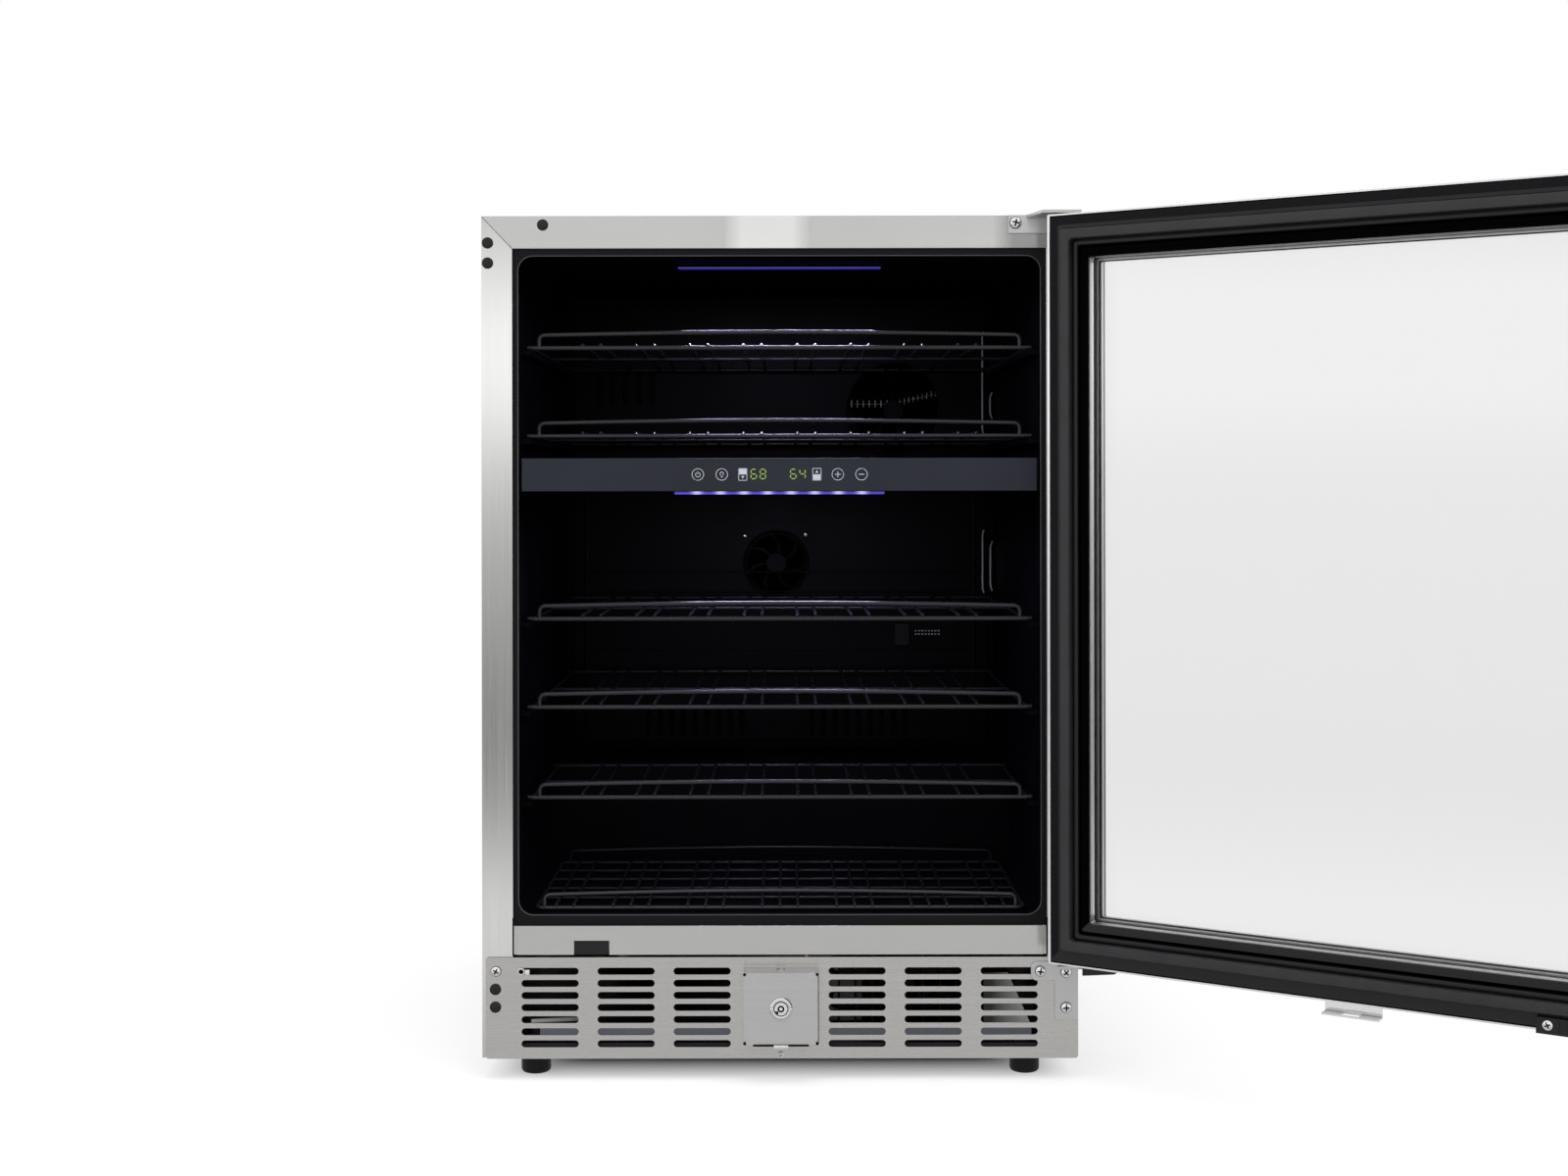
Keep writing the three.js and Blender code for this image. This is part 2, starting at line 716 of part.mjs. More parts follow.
function refrigerantLine() {
  const route = new THREE.CatmullRomCurve3(
    [
      [compressorPlace.x + 90, 425, 60],
      [10, 400, 50],
      [30, 330, 48],
      [30, 160, 48],
      [36, 70, 51],
      [50, 51, 55],
      [condenser.x[0] - 1, 51, 55],
    ].map((point) => new THREE.Vector3(...point)),
  );
  const ring = new THREE.Shape();
  ring.absarc(0, 0, 3, 0, Math.PI * 2);
  const geometry = new THREE.ExtrudeGeometry(ring, { steps: 20, extrudePath: route, curveSegments: 4 });
  return node("refrigerant_line", solid(geometry), "copper");
}

function powerInletBox() {
  const shell = box(powerInlet.x, [cabinet.depth - 30, cabinet.depth], powerInlet.z);
  const socket = box([206, 234], [cabinet.depth - 18, cabinet.depth + 1], [66, 86]);
  return node("power_inlet", shell.subtract(socket), "blackPlastic");
}

// ---------- Shelves ----------

// A flat wire frame around x = -halfWidth to halfWidth, with bars from front to back at each x in barsAt.
function wireFrame({ halfWidth, front, back, z, thick, thin, barsAt }) {
  const corners = [-halfWidth, halfWidth];
  const crossWires = [front, back].map((y) => wire([-halfWidth, y, z], [halfWidth, y, z], thick));
  const sideWires = corners.map((x) => wire([x, front, z], [x, back, z], thick - 0.2));
  const bars = barsAt.map((x) => box([x - thin, x + thin], [front, back], [z - thin, z + thin]));
  return join([...crossWires, ...sideWires, ...bars]);
}

// A wire shelf: a frame, paired bars from front to back and a raised front rail that holds bottles in.
function wireShelf(name) {
  const z = shelfHeights[name];
  const back = name === "shelf_5" ? shelf.shortBack : shelf.back;
  const { halfWidth, front, wire: thick, thinWire: thin } = shelf;
  const barsAt = [];
  for (let pair = 0; pair < shelf.pairs; pair += 1) {
    const middle = (pair - (shelf.pairs - 1) / 2) * shelf.pairPitch;
    barsAt.push(middle - shelf.pairGap / 2, middle + shelf.pairGap / 2);
  }
  const railEnd = halfWidth - 8;
  const railTop = z + 14;
  const posts = [-railEnd, railEnd].map((x) => wire([x, front, z], [x, front, railTop], thick - 0.2));
  const rail = wire([-railEnd, front, railTop], [railEnd, front, railTop], thick);
  const grid = wireFrame({ halfWidth, front, back, z, thick, thin, barsAt });
  return node(name, join([grid, rail, ...posts]), "blackWire");
}

// The bottle rack on the cavity floor: a low frame with bars in threes, and a high wire at front and back.
function bottomRack() {
  const { halfWidth, postInset, front, back, wire: thick } = rack;
  const post = halfWidth - postInset;
  const low = cavity.floor + 3 * GAP + thick; // clear of the cavity's rounded corners
  const high = low + 15;
  const barsAt = [];
  for (let group = -3; group <= 3; group += 1) {
    for (const offset of [-18, 0, 18]) {
      barsAt.push(group * 75.4 + offset);
    }
  }
  const inside = barsAt.filter((x) => Math.abs(x) < halfWidth - 4);
  const parts = [wireFrame({ halfWidth, front, back, z: low, thick, thin: shelf.thinWire, barsAt: inside })];
  for (const y of [front, back]) {
    parts.push(wire([-post, y, high], [post, y, high], thick));
    for (const x of both(post)) {
      parts.push(wire([x, y, low], [x, y, high], thick - 0.4));
    }
  }
  return node("bottom_rack", join(parts), "blackWire");
}

// ---------- Door ----------

const openingHalf = door.halfWidth - door.rail;
const openingZ = [door.bottom + door.rail, door.top - door.rail];
const glassHalf = openingHalf + glass.cover;
const glassZ = [openingZ[0] - glass.cover, openingZ[1] + glass.cover];

// The window's space through the door frame over a span of depth.
function windowSpace(depth, radius = 3) {
  return extrudeAlongY(roundedOutline(both(openingHalf), openingZ, radius), depth);
}

function pinHoles() {
  const { x, y, pinRadius } = hinge;
  return [
    rod([x, y, door.bottom - 2], [x, y, door.bottom + 9], pinRadius + GAP, 16),
    rod([x, y, door.top + 2], [x, y, door.top - 11], pinRadius + GAP, 16),
  ];
}

function doorOuterFrame() {
  const { halfWidth, bottom, top, front, back, skin } = door;
  const tray = box(both(halfWidth), [front, back - 1], [bottom, top]);
  const room = box(both(halfWidth - skin), [front + skin, back + 1], [bottom + skin, top - skin]);
  const opening = windowSpace([front - 1, front + skin + 1]);
  return node("door_outer_frame", cut(tray, [room, opening, ...pinHoles()]), "stainless");
}

function doorInnerFrame() {
  const { halfWidth, bottom, top, front, back, skin } = door;
  const margin = skin + GAP;
  const core = box(both(halfWidth - margin), [front + margin, back], [bottom + margin, top - margin]);
  const opening = windowSpace([front, back + 1], 2);
  const rebate = box(
    both(glassHalf + GAP),
    [glass.outerFront - GAP, glass.innerBack + GAP],
    [glassZ[0] - GAP, glassZ[1] + GAP],
  );
  const groove = gasketLoop(GAP, [gasket.seat - GAP, back + 1]);
  return node("door_inner_frame", cut(core, [opening, rebate, groove, ...pinHoles()]), "blackPlastic");
}

// The seal's path around the door, `grow` wider on each side, over a span of depth.
function gasketLoop(grow, depth) {
  const loop = (inset) =>
    extrudeAlongY(
      roundedOutline(both(door.halfWidth - inset), [door.bottom + inset, door.top - inset], 3),
      depth,
    );
  return loop(gasket.inset - grow).subtract(
    box(
      both(door.halfWidth - gasket.inset - gasket.width - grow),
      [depth[0] - 1, depth[1] + 1],
      [door.bottom + gasket.inset + gasket.width + grow, door.top - gasket.inset - gasket.width - grow],
    ),
  );
}

function doorGasket() {
  return node("door_gasket", gasketLoop(0, [gasket.seat, gasket.back]), "sealRubber");
}

function glassPane(name, front) {
  return node(name, box(both(glassHalf), [front, front + glass.pane], glassZ), "glass");
}

function glassSpacer() {
  const depth = [glass.outerFront + glass.pane + GAP, glass.innerBack - glass.pane - GAP];
  const outer = box(both(glassHalf), depth, glassZ);
  const inner = box(
    both(glassHalf - glass.spacerWidth),
    [depth[0] - 1, depth[1] + 1],
    [glassZ[0] + glass.spacerWidth, glassZ[1] - glass.spacerWidth],
  );
  return node("glass_spacer", outer.subtract(inner), "aluminium");
}

function doorHandle() {
  const { x, y, radius, bottom, top, postInset, postRadius } = handle;
  const bar = rod([x, y, bottom], [x, y, top], radius, 24);
  const posts = [bottom + postInset, top - postInset].map((z) =>
    rod([x, y, z], [x, door.front - GAP, z], postRadius, 16),
  );
  return node("door_handle", join([bar, ...posts]), "stainless");
}

// A folded plate under the door with a hole that the lock bolt rises into.
function doorCatch() {
  const span = both(26);
  const top = door.bottom - GAP;
  const ledge = [lockBox.top + 2.2, lockBox.top + 3.7];
  const leg = [-16.5, -15];
  const foldedUnder = box(span, [-40, leg[1]], [top - 1.5, top]);
  const hanging = box(span, leg, [ledge[0], top]);
  const forward = box(span, [leg[0], -3], ledge);
  const notch = box(
    [lockBox.middle - 8, lockBox.middle + 8],
    [lockBolt.y - 5, lockBolt.y + 4],
    [ledge[0] - 1, ledge[1] + 1],
  );
  return node("door_catch", join([foldedUnder, hanging, forward]).subtract(notch), "bracketSteel");
}

// The block under the hinge end of the door that limits its swing; its underside slopes up away from the hinge.
const stop = { reach: [20, 54], drop: [9, 3.4], front: -30, back: -15 };

function stopBlock() {
  const near = hinge.x - stop.reach[0];
  const far = hinge.x - stop.reach[1];
  const top = door.bottom - GAP;
  const outline = polygon([
    [far, top],
    [far, top - stop.drop[1]],
    [near, top - stop.drop[0]],
    [near, top],
  ]);
  return node("hinge_stop_block", extrudeAlongY(outline, [stop.front, stop.back]), "blackPlastic");
}

// A plastic shoe clipped under the free corner of the door, held by one screw.
const shoe = { x: [-239.1, -159.6], front: -30, back: -2.5, drop: 1, rise: 13, screw: [-169.3, 133.2] };

function cornerShoe() {
  const low = door.bottom - GAP - shoe.drop;
  const under = box(shoe.x, [shoe.front, shoe.back], [low, door.bottom - GAP]);
  const face = box(shoe.x, [door.back + GAP, shoe.back], [low, door.bottom + shoe.rise]);
  const hole = screwHole(shoe.screw, [door.back, 0]);
  return node("corner_shoe", under.add(face).subtract(hole), "blackPlastic");
}

// ---------- Assembly ----------

function buildCabinet() {
  const group = new THREE.Group();
  group.add(outerShell(), backPanel(), machineCover(), machineBayPanel(), innerLiner(), foamInsulation());
  group.add(frameLeft(), frameRight(), frameTop(), frameBottom());
  group.add(basePan(), kickPlate(), lockHousing(), lockBarrel(), lockBoltPin());
  group.add(topHingeBracket(), bottomHingeBracket());
  group.add(panScrew("top_hinge_screw", topScrew, -PLATE - 2 * GAP));
  for (const [name, at] of Object.entries(bottomScrews)) {
    group.add(panScrew(name, at, kick.front - 2 * GAP - PLATE));
  }
  return group;
}

function buildInterior() {
  const group = new THREE.Group();
  group.add(zoneDivider(), controlFascia(), controlBoard());
  group.add(lightBar("led_bar_upper", 90, cavity.ceiling), lightBar("led_bar_lower", 20, divider.bottom));
  group.add(upperDuctCover(), lowerDuctCover(), temperatureSensor());
  group.add(evaporator("evaporator_upper", [-140, 60], [660, 800]));
  group.add(evaporator("evaporator_lower", [-180, 180], [310, 440]));
  const behindCover = duct.front + duct.wall + 0.5;
  group.add(fanWheel("upper_fan", upperFan, behindCover, 5, 9));
  group.add(fanWheel("lower_fan", lowerFan, behindCover, 5, 9));
  for (const name of Object.keys(shelfHeights)) {
    group.add(wireShelf(name));
  }
  group.add(bottomRack());
  return group;
}

function buildMachineBay() {
  const group = new THREE.Group();
  group.add(compressor(), dripPan(), condenserCoil(), condenserFanShroud(), refrigerantLine());
  group.add(fanWheel("condenser_fan", condenserFan, condenserFan.plane, 5, 16), powerInletBox());
  for (const [name, place] of Object.entries(feet)) {
    group.add(levellingFoot(name, place));
  }
  return group;
}

function buildDoor() {
  const closed = new THREE.Group();
  closed.add(doorOuterFrame(), doorInnerFrame(), doorGasket(), glassSpacer());
  closed.add(glassPane("glass_outer", glass.outerFront));
  closed.add(glassPane("glass_inner", glass.innerBack - glass.pane));
  closed.add(doorHandle(), doorCatch(), stopBlock(), cornerShoe());
  closed.position.set(-hinge.x, -hinge.y, 0);
  const swing = new THREE.Group();
  swing.add(closed);
  swing.position.set(hinge.x, hinge.y, 0);
  swing.rotation.z = THREE.MathUtils.degToRad(hinge.openDegrees);
  return swing;
}

const refrigerator = new THREE.Group();
refrigerator.add(buildCabinet(), buildInterior(), buildMachineBay(), buildDoor());

export default refrigerator;
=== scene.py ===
"""Looks of the undercounter refrigerator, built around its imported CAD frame.

Lengths of shapes are millimetres in the row frame (+X right, +Y into the cabinet, +Z up) and become metres
when a mesh is made; materials, lights and the camera use metres. Door pieces are shaped with the door shut,
then turned with it to its rest angle.
"""

import json
import math

import bmesh
import bpy
from mathutils import Euler, Matrix, Vector


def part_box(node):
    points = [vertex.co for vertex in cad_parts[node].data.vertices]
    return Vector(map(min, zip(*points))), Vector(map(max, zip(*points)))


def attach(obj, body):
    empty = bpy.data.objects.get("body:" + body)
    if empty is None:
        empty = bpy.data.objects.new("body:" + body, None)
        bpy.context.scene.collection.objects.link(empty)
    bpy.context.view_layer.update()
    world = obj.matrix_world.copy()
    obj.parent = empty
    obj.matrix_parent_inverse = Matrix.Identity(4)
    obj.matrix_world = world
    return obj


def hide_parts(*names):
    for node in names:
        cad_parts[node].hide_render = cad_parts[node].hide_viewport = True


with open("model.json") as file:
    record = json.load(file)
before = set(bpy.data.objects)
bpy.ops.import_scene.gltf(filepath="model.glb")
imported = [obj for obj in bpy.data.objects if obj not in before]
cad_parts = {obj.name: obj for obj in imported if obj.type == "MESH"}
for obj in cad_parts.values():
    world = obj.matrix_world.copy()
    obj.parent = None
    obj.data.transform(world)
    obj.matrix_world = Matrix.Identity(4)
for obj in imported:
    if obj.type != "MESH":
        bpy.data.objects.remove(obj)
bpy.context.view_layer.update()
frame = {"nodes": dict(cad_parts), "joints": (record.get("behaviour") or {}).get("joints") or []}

MM = 0.001


def cad(node):
    """Lowest and highest corner of a CAD node, in millimetres."""
    low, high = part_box(node)
    return low / MM, high / MM


# ---------- places read from the frame ----------

swing = next(j for j in frame["joints"] if j["name"] == "door_swing")
HINGE = Vector(swing["pos_m"]) / MM
OPEN = math.radians(-swing["range_deg"][0])
TO_HINGE = Matrix.Translation((HINGE.x, HINGE.y, 0))
DOOR_TURN = TO_HINGE @ Matrix.Rotation(OPEN, 4, "Z") @ TO_HINGE.inverted()

HALF_WIDTH = cad("front_frame_top")[1].x
STILE = 30.8
kick_low, kick_high = cad("kick_plate")
lock_low, lock_high = cad("lock_housing")
fascia_low = cad("control_fascia")[0]
liner_low = cad("inner_liner")[0]


def shut(node):
    """Lowest and highest corner of a door node with the door shut, in millimetres."""
    back = DOOR_TURN.inverted()
    points = [back @ (v.co / MM) for v in frame["nodes"][node].data.vertices]
    low = Vector(min(p[i] for p in points) for i in range(3))
    high = Vector(max(p[i] for p in points) for i in range(3))
    return low, high


# ---------- node graphs ----------


class Nodes:
    """The node tree of a material or world, with short calls for the nodes this script uses."""

    def __init__(self, owner):
        owner.use_nodes = True
        self.tree = owner.node_tree

    def node(self, kind, inputs=None, **settings):
        made = self.tree.nodes.new("ShaderNode" + kind)
        for key, value in settings.items():
            setattr(made, key, value)
        for key, value in (inputs or {}).items():
            self.set(made.inputs[key], value)
        return made

    def set(self, socket, value):
        if isinstance(value, bpy.types.NodeSocket):
            self.tree.links.new(value, socket)
        else:
            socket.default_value = value

    def coords(self, scale=(1, 1, 1), turn=0.0):
        """Object coordinates turned about Z and scaled."""
        where = self.node("TexCoord").outputs["Object"]
        turned = self.node("Mapping", {"Vector": where, "Rotation": (0, 0, turn)}).outputs["Vector"]
        return self.node("Mapping", {"Vector": turned, "Scale": scale}).outputs["Vector"]

    def place(self, axis):
        """One object coordinate: "X", "Y" or "Z"."""
        return self.node("SeparateXYZ", {"Vector": self.coords()}).outputs[axis]

    def noise(self, scale, detail=3.0, roughness=0.5, turn=0.0):
        """Noise at one scale, or at a scale for each axis."""
        scale = scale if isinstance(scale, tuple) else (scale, scale, scale)
        inputs = {"Vector": self.coords(scale, turn), "Scale": 1, "Detail": detail, "Roughness": roughness}
        return self.node("TexNoise", inputs).outputs["Fac"]

    def math(self, operation, a, b=0.0, c=0.0):
        made = self.node("Math", operation=operation)
        for socket, value in zip(made.inputs, (a, b, c)):
            self.set(socket, value)
        return made.outputs[0]

    def span(self, value, low, high, from_low=0.3, from_high=0.7):
        """Maps a value from one range to another; the usual noise lies between 0.3 and 0.7."""
        made = self.node("MapRange", {"Value": value, "From Min": from_low, "From Max": from_high,
                                                "To Min": low, "To Max": high})
        return made.outputs["Result"]

    def mix(self, factor, a, b):
        made = self.node("Mix", data_type="RGBA")
        self.set(made.inputs["Factor"], factor)
        self.set(made.inputs[6], a)
        self.set(made.inputs[7], b)
        return made.outputs[2]

    def blend(self, noise, a, b):
        """Two colours mixed by a noise."""
        return self.mix(self.span(noise, 0, 1), a, b)

    def bump(self, height, strength, distance):
        made = self.node("Bump", {"Height": height, "Strength": strength, "Distance": distance})
        return made.outputs["Normal"]


class Graph(Nodes):
    """The node tree of a new material."""

    def __init__(self, name):
        self.material = bpy.data.materials.new(name)
        super().__init__(self.material)
        self.surface = self.tree.nodes["Principled BSDF"]
        self.output = self.tree.nodes["Material Output"]

    def principled(self, **inputs):
        for key, value in inputs.items():
            self.set(self.surface.inputs[key.replace("_", " ")], value)


def grey(value, tint=(1, 1, 1)):
    return (value * tint[0], value * tint[1], value * tint[2], 1)


def scaled(colour, gain):
    return tuple(c * gain for c in colour[:3]) + (1,)


def brushed_steel(name, grain, turn=0.0, shade=0.60, roughness=0.2, tint=(1, 0.995, 0.98), painted_reflections=()):
    """Brushed stainless steel; grain is "X" or "Z", in a frame turned about Z by `turn`.

    Each painted reflection is a soft patch across the sheet, a painted highlight or painted shade: (centre X,
    half width, gain).
    """
    g = Graph(name)
    along, across = 18, 2600
    fine = (along, across, across) if grain == "X" else (across, across, along)
    wide = tuple(0.12 * s for s in fine)
    hair = g.noise(fine, 4, 0.6, -turn)
    streak = g.noise(wide, 3, 0.55, -turn)
    cloud = g.noise(4, 2)
    lines = g.math("ADD", g.math("MULTIPLY", hair, 0.6), g.math("MULTIPLY", streak, 0.4))
    colour = g.blend(lines, grey(shade * 0.95, tint), grey(shade * 1.04, tint))
    place = g.place("X")
    # Painted reflections: patches of lighter or darker colour where the sheet catches or misses a reflection.
    for centre, half, gain in painted_reflections:
        away = g.math("ABSOLUTE", g.math("SUBTRACT", place, centre))
        colour = g.mix(g.span(away, 1, 0, 0.7 * half, 1.2 * half), colour, grey(shade * gain, tint))
    rough = g.math("ADD", g.span(lines, -0.05, 0.06), g.span(cloud, roughness - 0.02, roughness + 0.02))
    side = (0, 0, 1) if grain == "X" else (math.cos(turn), math.sin(turn), 0)
    tangent = g.node("VectorTransform", {"Vector": side}, vector_type="VECTOR", convert_from="OBJECT",
                     convert_to="WORLD").outputs["Vector"]
    g.principled(Base_Color=colour, Metallic=1.0, Roughness=rough, Anisotropic=0.85, Tangent=tangent,
                 Normal=g.bump(lines, 0.12, 0.0002))
    return g.material


def plain_metal(name, shade, roughness, tint=(1, 1, 1), grain=900, wear=0.03, painted_recess_shade=0.0):
    """Stamped or turned metal with a faint orange-peel grain and small wear marks; with
    `painted_recess_shade` the colour goes towards black where ambient occlusion finds hollows and contacts, a
    painted shade.
    """
    g = Graph(name)
    fine = g.noise(grain, 4, 0.6)
    marks = g.noise(60, 5, 0.7)
    colour = g.blend(marks, grey(shade * 0.93, tint), grey(shade * 1.03, tint))
    # Painted shade: the colour darkens in hollows and where the part meets another, by ambient occlusion.
    if painted_recess_shade:
        sky = g.node("AmbientOcclusion", {"Distance": painted_recess_shade}, samples=6).outputs["AO"]
        colour = g.mix(g.span(sky, 0, 1, 0.45, 0.85), grey(0.015), colour)
    rough = g.math("ADD", g.span(fine, -wear, wear), g.span(marks, roughness - wear, roughness + wear))
    g.principled(Base_Color=colour, Metallic=1.0, Roughness=rough, Normal=g.bump(fine, 0.08, 0.0003))
    return g.material


def moulded_plastic(name, colour, roughness=0.4, grain=1400, bump=0.12, shine=0.3):
    """Moulded plastic: fine spark-eroded grain, faint flow clouds, slightly uneven gloss."""
    g = Graph(name)
    fine = g.noise(grain, 2)
    cloud = g.noise(14, 4, 0.6)
    rough = g.math("ADD", g.span(fine, -0.03, 0.03), g.span(cloud, roughness - 0.04, roughness + 0.04))
    g.principled(Base_Color=g.blend(cloud, scaled(colour, 0.85), scaled(colour, 1.2)), Roughness=rough,
                 Normal=g.bump(fine, bump, 0.0002), Specular_IOR_Level=shine)
    return g.material


def liner_plastic(name):
    """The liner's moulding: black, with painted shade deeper than 4 to 12 mm behind the front, where colour
    and reflection drop; the front flange stays a little paler and glossier.
    """
    g = Graph(name)
    fine = g.noise(1400, 2)
    cloud = g.noise(14, 4, 0.6)
    depth = g.place("Y")
    # Painted shade: deeper than 4 to 12 mm the colour darkens and the reflection weakens, so the cavity reads
    # dark.
    rim = g.span(depth, 1.0, 0.0, 0.004, 0.012)
    shaded_inside = g.blend(cloud, (0.0008, 0.0008, 0.0014, 1), (0.0018, 0.0017, 0.0030, 1))
    g.principled(Base_Color=g.mix(rim, shaded_inside, (0.004, 0.004, 0.005, 1)),
                 Roughness=g.span(cloud, 0.36, 0.46), Specular_IOR_Level=g.span(rim, 0.035, 0.12, 0, 1),
                 Normal=g.bump(fine, 0.12, 0.0002))
    return g.material


def powder_coat(name, colour, roughness=0.42, shine=0.4):
    """Powder-coated sheet: a soft orange peel under an even semi-gloss."""
    g = Graph(name)
    peel = g.noise(420, 2)
    speck = g.noise(2400, 2)
    cloud = g.noise(6, 3)
    tone = g.blend(cloud, scaled(colour, 0.9), scaled(colour, 1.12))
    height = g.math("ADD", g.math("MULTIPLY", peel, 0.8), g.math("MULTIPLY", speck, 0.2))
    g.principled(Base_Color=tone, Roughness=g.span(speck, roughness - 0.05, roughness + 0.05),
                 Normal=g.bump(height, 0.25, 0.0004), Specular_IOR_Level=shine)
    return g.material


def wire_coat(name):
    """Glossy black wire coating, with painted shade on the wires behind the front rail: darker and less
    reflective from 3 to 6 cm behind the front.
    """
    g = Graph(name)
    peel = g.noise(420, 2)
    cloud = g.noise(6, 3)
    depth = g.place("Y")
    # Painted shade: wires more than 3 to 6 cm behind the front get a darker colour and a weaker reflection.
    front = g.span(depth, 1.0, 0.3, 0.03, 0.06)
    tone = g.blend(cloud, (0.012, 0.012, 0.016, 1), (0.016, 0.016, 0.020, 1))
    g.principled(Base_Color=g.mix(front, (0.003, 0.003, 0.005, 1), tone), Roughness=g.span(peel, 0.20, 0.28),
                 Normal=g.bump(peel, 0.25, 0.0004), Specular_IOR_Level=g.math("MULTIPLY", front, 0.5))
    return g.material


def painted_glow_sheet(name, start, end, first, last, tint):
    """Dark sheet with painted light: an emission that changes along X from one glow to another stands in for
    stray light falling on it.
    """
    g = Graph(name)
    place = g.place("X")
    fine = g.noise(300, 3, 0.6)
    glow = g.math("MULTIPLY", g.span(place, first, last, start, end), g.span(fine, 0.9, 1.1))
    g.principled(Base_Color=(0.02, 0.02, 0.024, 1), Roughness=0.5, Emission_Color=(*tint, 1),
                 Emission_Strength=glow)
    return g.material


def galvanised(name):
    """Zinc-coated sheet with its crystal spangle."""
    g = Graph(name)
    cells = g.node("TexVoronoi", {"Vector": g.coords((85, 85, 85)), "Scale": 1.0, "Randomness": 1.0})
    tone = g.node("SeparateColor", {"Color": cells.outputs["Color"]}).outputs["Red"]
    fine = g.noise(700, 3, 0.6)
    colour = g.mix(tone, (0.36, 0.37, 0.39, 1), (0.55, 0.56, 0.58, 1))
    g.principled(Base_Color=colour, Metallic=0.85, Roughness=g.span(tone, 0.36, 0.55, 0, 1),
                 Normal=g.bump(fine, 0.1, 0.0003))
    return g.material


def rubber(name):
    """Soft magnetic seal: matt, faintly dusty."""
    g = Graph(name)
    fine = g.noise(1800, 2)
    dust = g.noise(40, 5, 0.65)
    colour = g.blend(dust, (0.014, 0.014, 0.015, 1), (0.021, 0.021, 0.023, 1))
    g.principled(Base_Color=colour, Roughness=g.span(dust, 0.42, 0.56), Normal=g.bump(fine, 0.15, 0.0002),
                 Specular_IOR_Level=0.35)
    return g.material


def pane_glass(name, tint, shine):
    """A thin clear pane: light passes straight through, tinted, with a Fresnel reflection on top."""
    g = Graph(name)
    g.tree.nodes.remove(g.surface)
    smear = g.noise(5, 4, 0.6)
    clear = g.node("BsdfTransparent", {"Color": tint}).outputs[0]
    rough = g.span(smear, 0.0, 0.03)
    gloss = g.node("BsdfGlossy", {"Color": (1, 1, 1, 1), "Roughness": rough}).outputs[0]
    fresnel = g.node("Fresnel", {"IOR": 1.5}).outputs[0]
    share = g.math("MULTIPLY", fresnel, shine)
    both = g.node("MixShader", {0: share, 1: clear, 2: gloss}).outputs[0]
    g.set(g.output.inputs["Surface"], both)
    return g.material


def light_lens(name, pitch, reach, strength, sparkle):
    """A frosted strip lit from behind by a row of diodes, brighter by `sparkle` in front of each one."""
    g = Graph(name)
    where = g.place("X")
    phase = g.math("MULTIPLY_ADD", where, 2 * math.pi / pitch, math.pi)
    wave = g.math("MULTIPLY_ADD", g.math("COSINE", phase), 0.5, 0.5)
    spot = g.math("MULTIPLY", g.math("POWER", wave, 1.6), g.math("COMPARE", where, 0.0, reach))
    frost = g.noise(900, 2)
    white = g.math("MULTIPLY", spot, min(sparkle, 1.0))
    colour = g.mix(white, (0.075, 0.045, 0.9, 1), (0.66, 0.62, 1, 1))
    glow = g.math("MULTIPLY", g.math("MULTIPLY_ADD", spot, sparkle, 1.0),
                  g.span(frost, strength * 0.9, strength * 1.1))
    g.principled(Base_Color=(0.1, 0.08, 0.4, 1), Roughness=0.35, Emission_Color=colour,
                 Emission_Strength=glow)
    return g.material


def print_ink(name, colour, strength=0.0):
    """Screen-printed ink, or a lit segment when strength is above zero."""
    g = Graph(name)
    grain = g.noise(3000, 2)
    tone = g.blend(grain, scaled(colour, 0.9), scaled(colour, 1))
    g.principled(Base_Color=tone, Roughness=0.5)
    if strength:
        g.principled(Emission_Color=tone, Emission_Strength=strength)
    return g.material


def cut_foam(name):
    g = Graph(name)
    cells = g.noise(700, 3, 0.6)
    blotch = g.noise(20, 3)
    g.principled(Base_Color=g.blend(blotch, (0.70, 0.60, 0.34, 1), (0.82, 0.74, 0.48, 1)),
                 Roughness=0.9, Normal=g.bump(cells, 0.6, 0.001))
    return g.material


def circuit_board(name):
    g = Graph(name)
    tracks = g.node("TexBrick", {"Vector": g.coords((260, 260, 260)), "Scale": 1.0,
                                           "Color1": (0.012, 0.09, 0.035, 1), "Color2": (0.02, 0.13, 0.05, 1),
                                           "Mortar": (0.35, 0.25, 0.06, 1), "Mortar Size": 0.04})
    g.principled(Base_Color=tracks.outputs["Color"], Roughness=0.45,
                 Normal=g.bump(tracks.outputs["Fac"], 0.3, 0.0003))
    return g.material


STEEL_UP = brushed_steel("stainless_upright", "Z")
STEEL_ACROSS = brushed_steel("stainless_across", "X")
# The top rail gets a painted reflection, lighter left of centre, and painted shade, darker at its right end.
STEEL_TOP = brushed_steel("stainless_top", "X", painted_reflections=((-0.012, 0.036, 1.4), (0.262, 0.04, 0.55)))
STEEL_KICK = brushed_steel("stainless_kick", "X", shade=0.58, roughness=0.26, tint=(1, 0.975, 0.945))
DOOR_STEEL = brushed_steel("stainless_door", "Z", OPEN)
BRACKET = brushed_steel("bracket_steel", "X", shade=0.6, roughness=0.3, tint=(1, 1, 1))
SCREW = plain_metal("screw_steel", 0.92, 0.14, painted_recess_shade=0.002)
NICKEL = plain_metal("lock_nickel", 0.78, 0.14, painted_recess_shade=0.002)
ALUMINIUM = plain_metal("spacer_aluminium", 0.62, 0.34, grain=2500, wear=0.005)
HEM = plain_metal("polished_edge", 0.85, 0.24, wear=0.01)
COPPER = plain_metal("copper_tube", 0.9, 0.3, tint=(0.72, 0.36, 0.22))
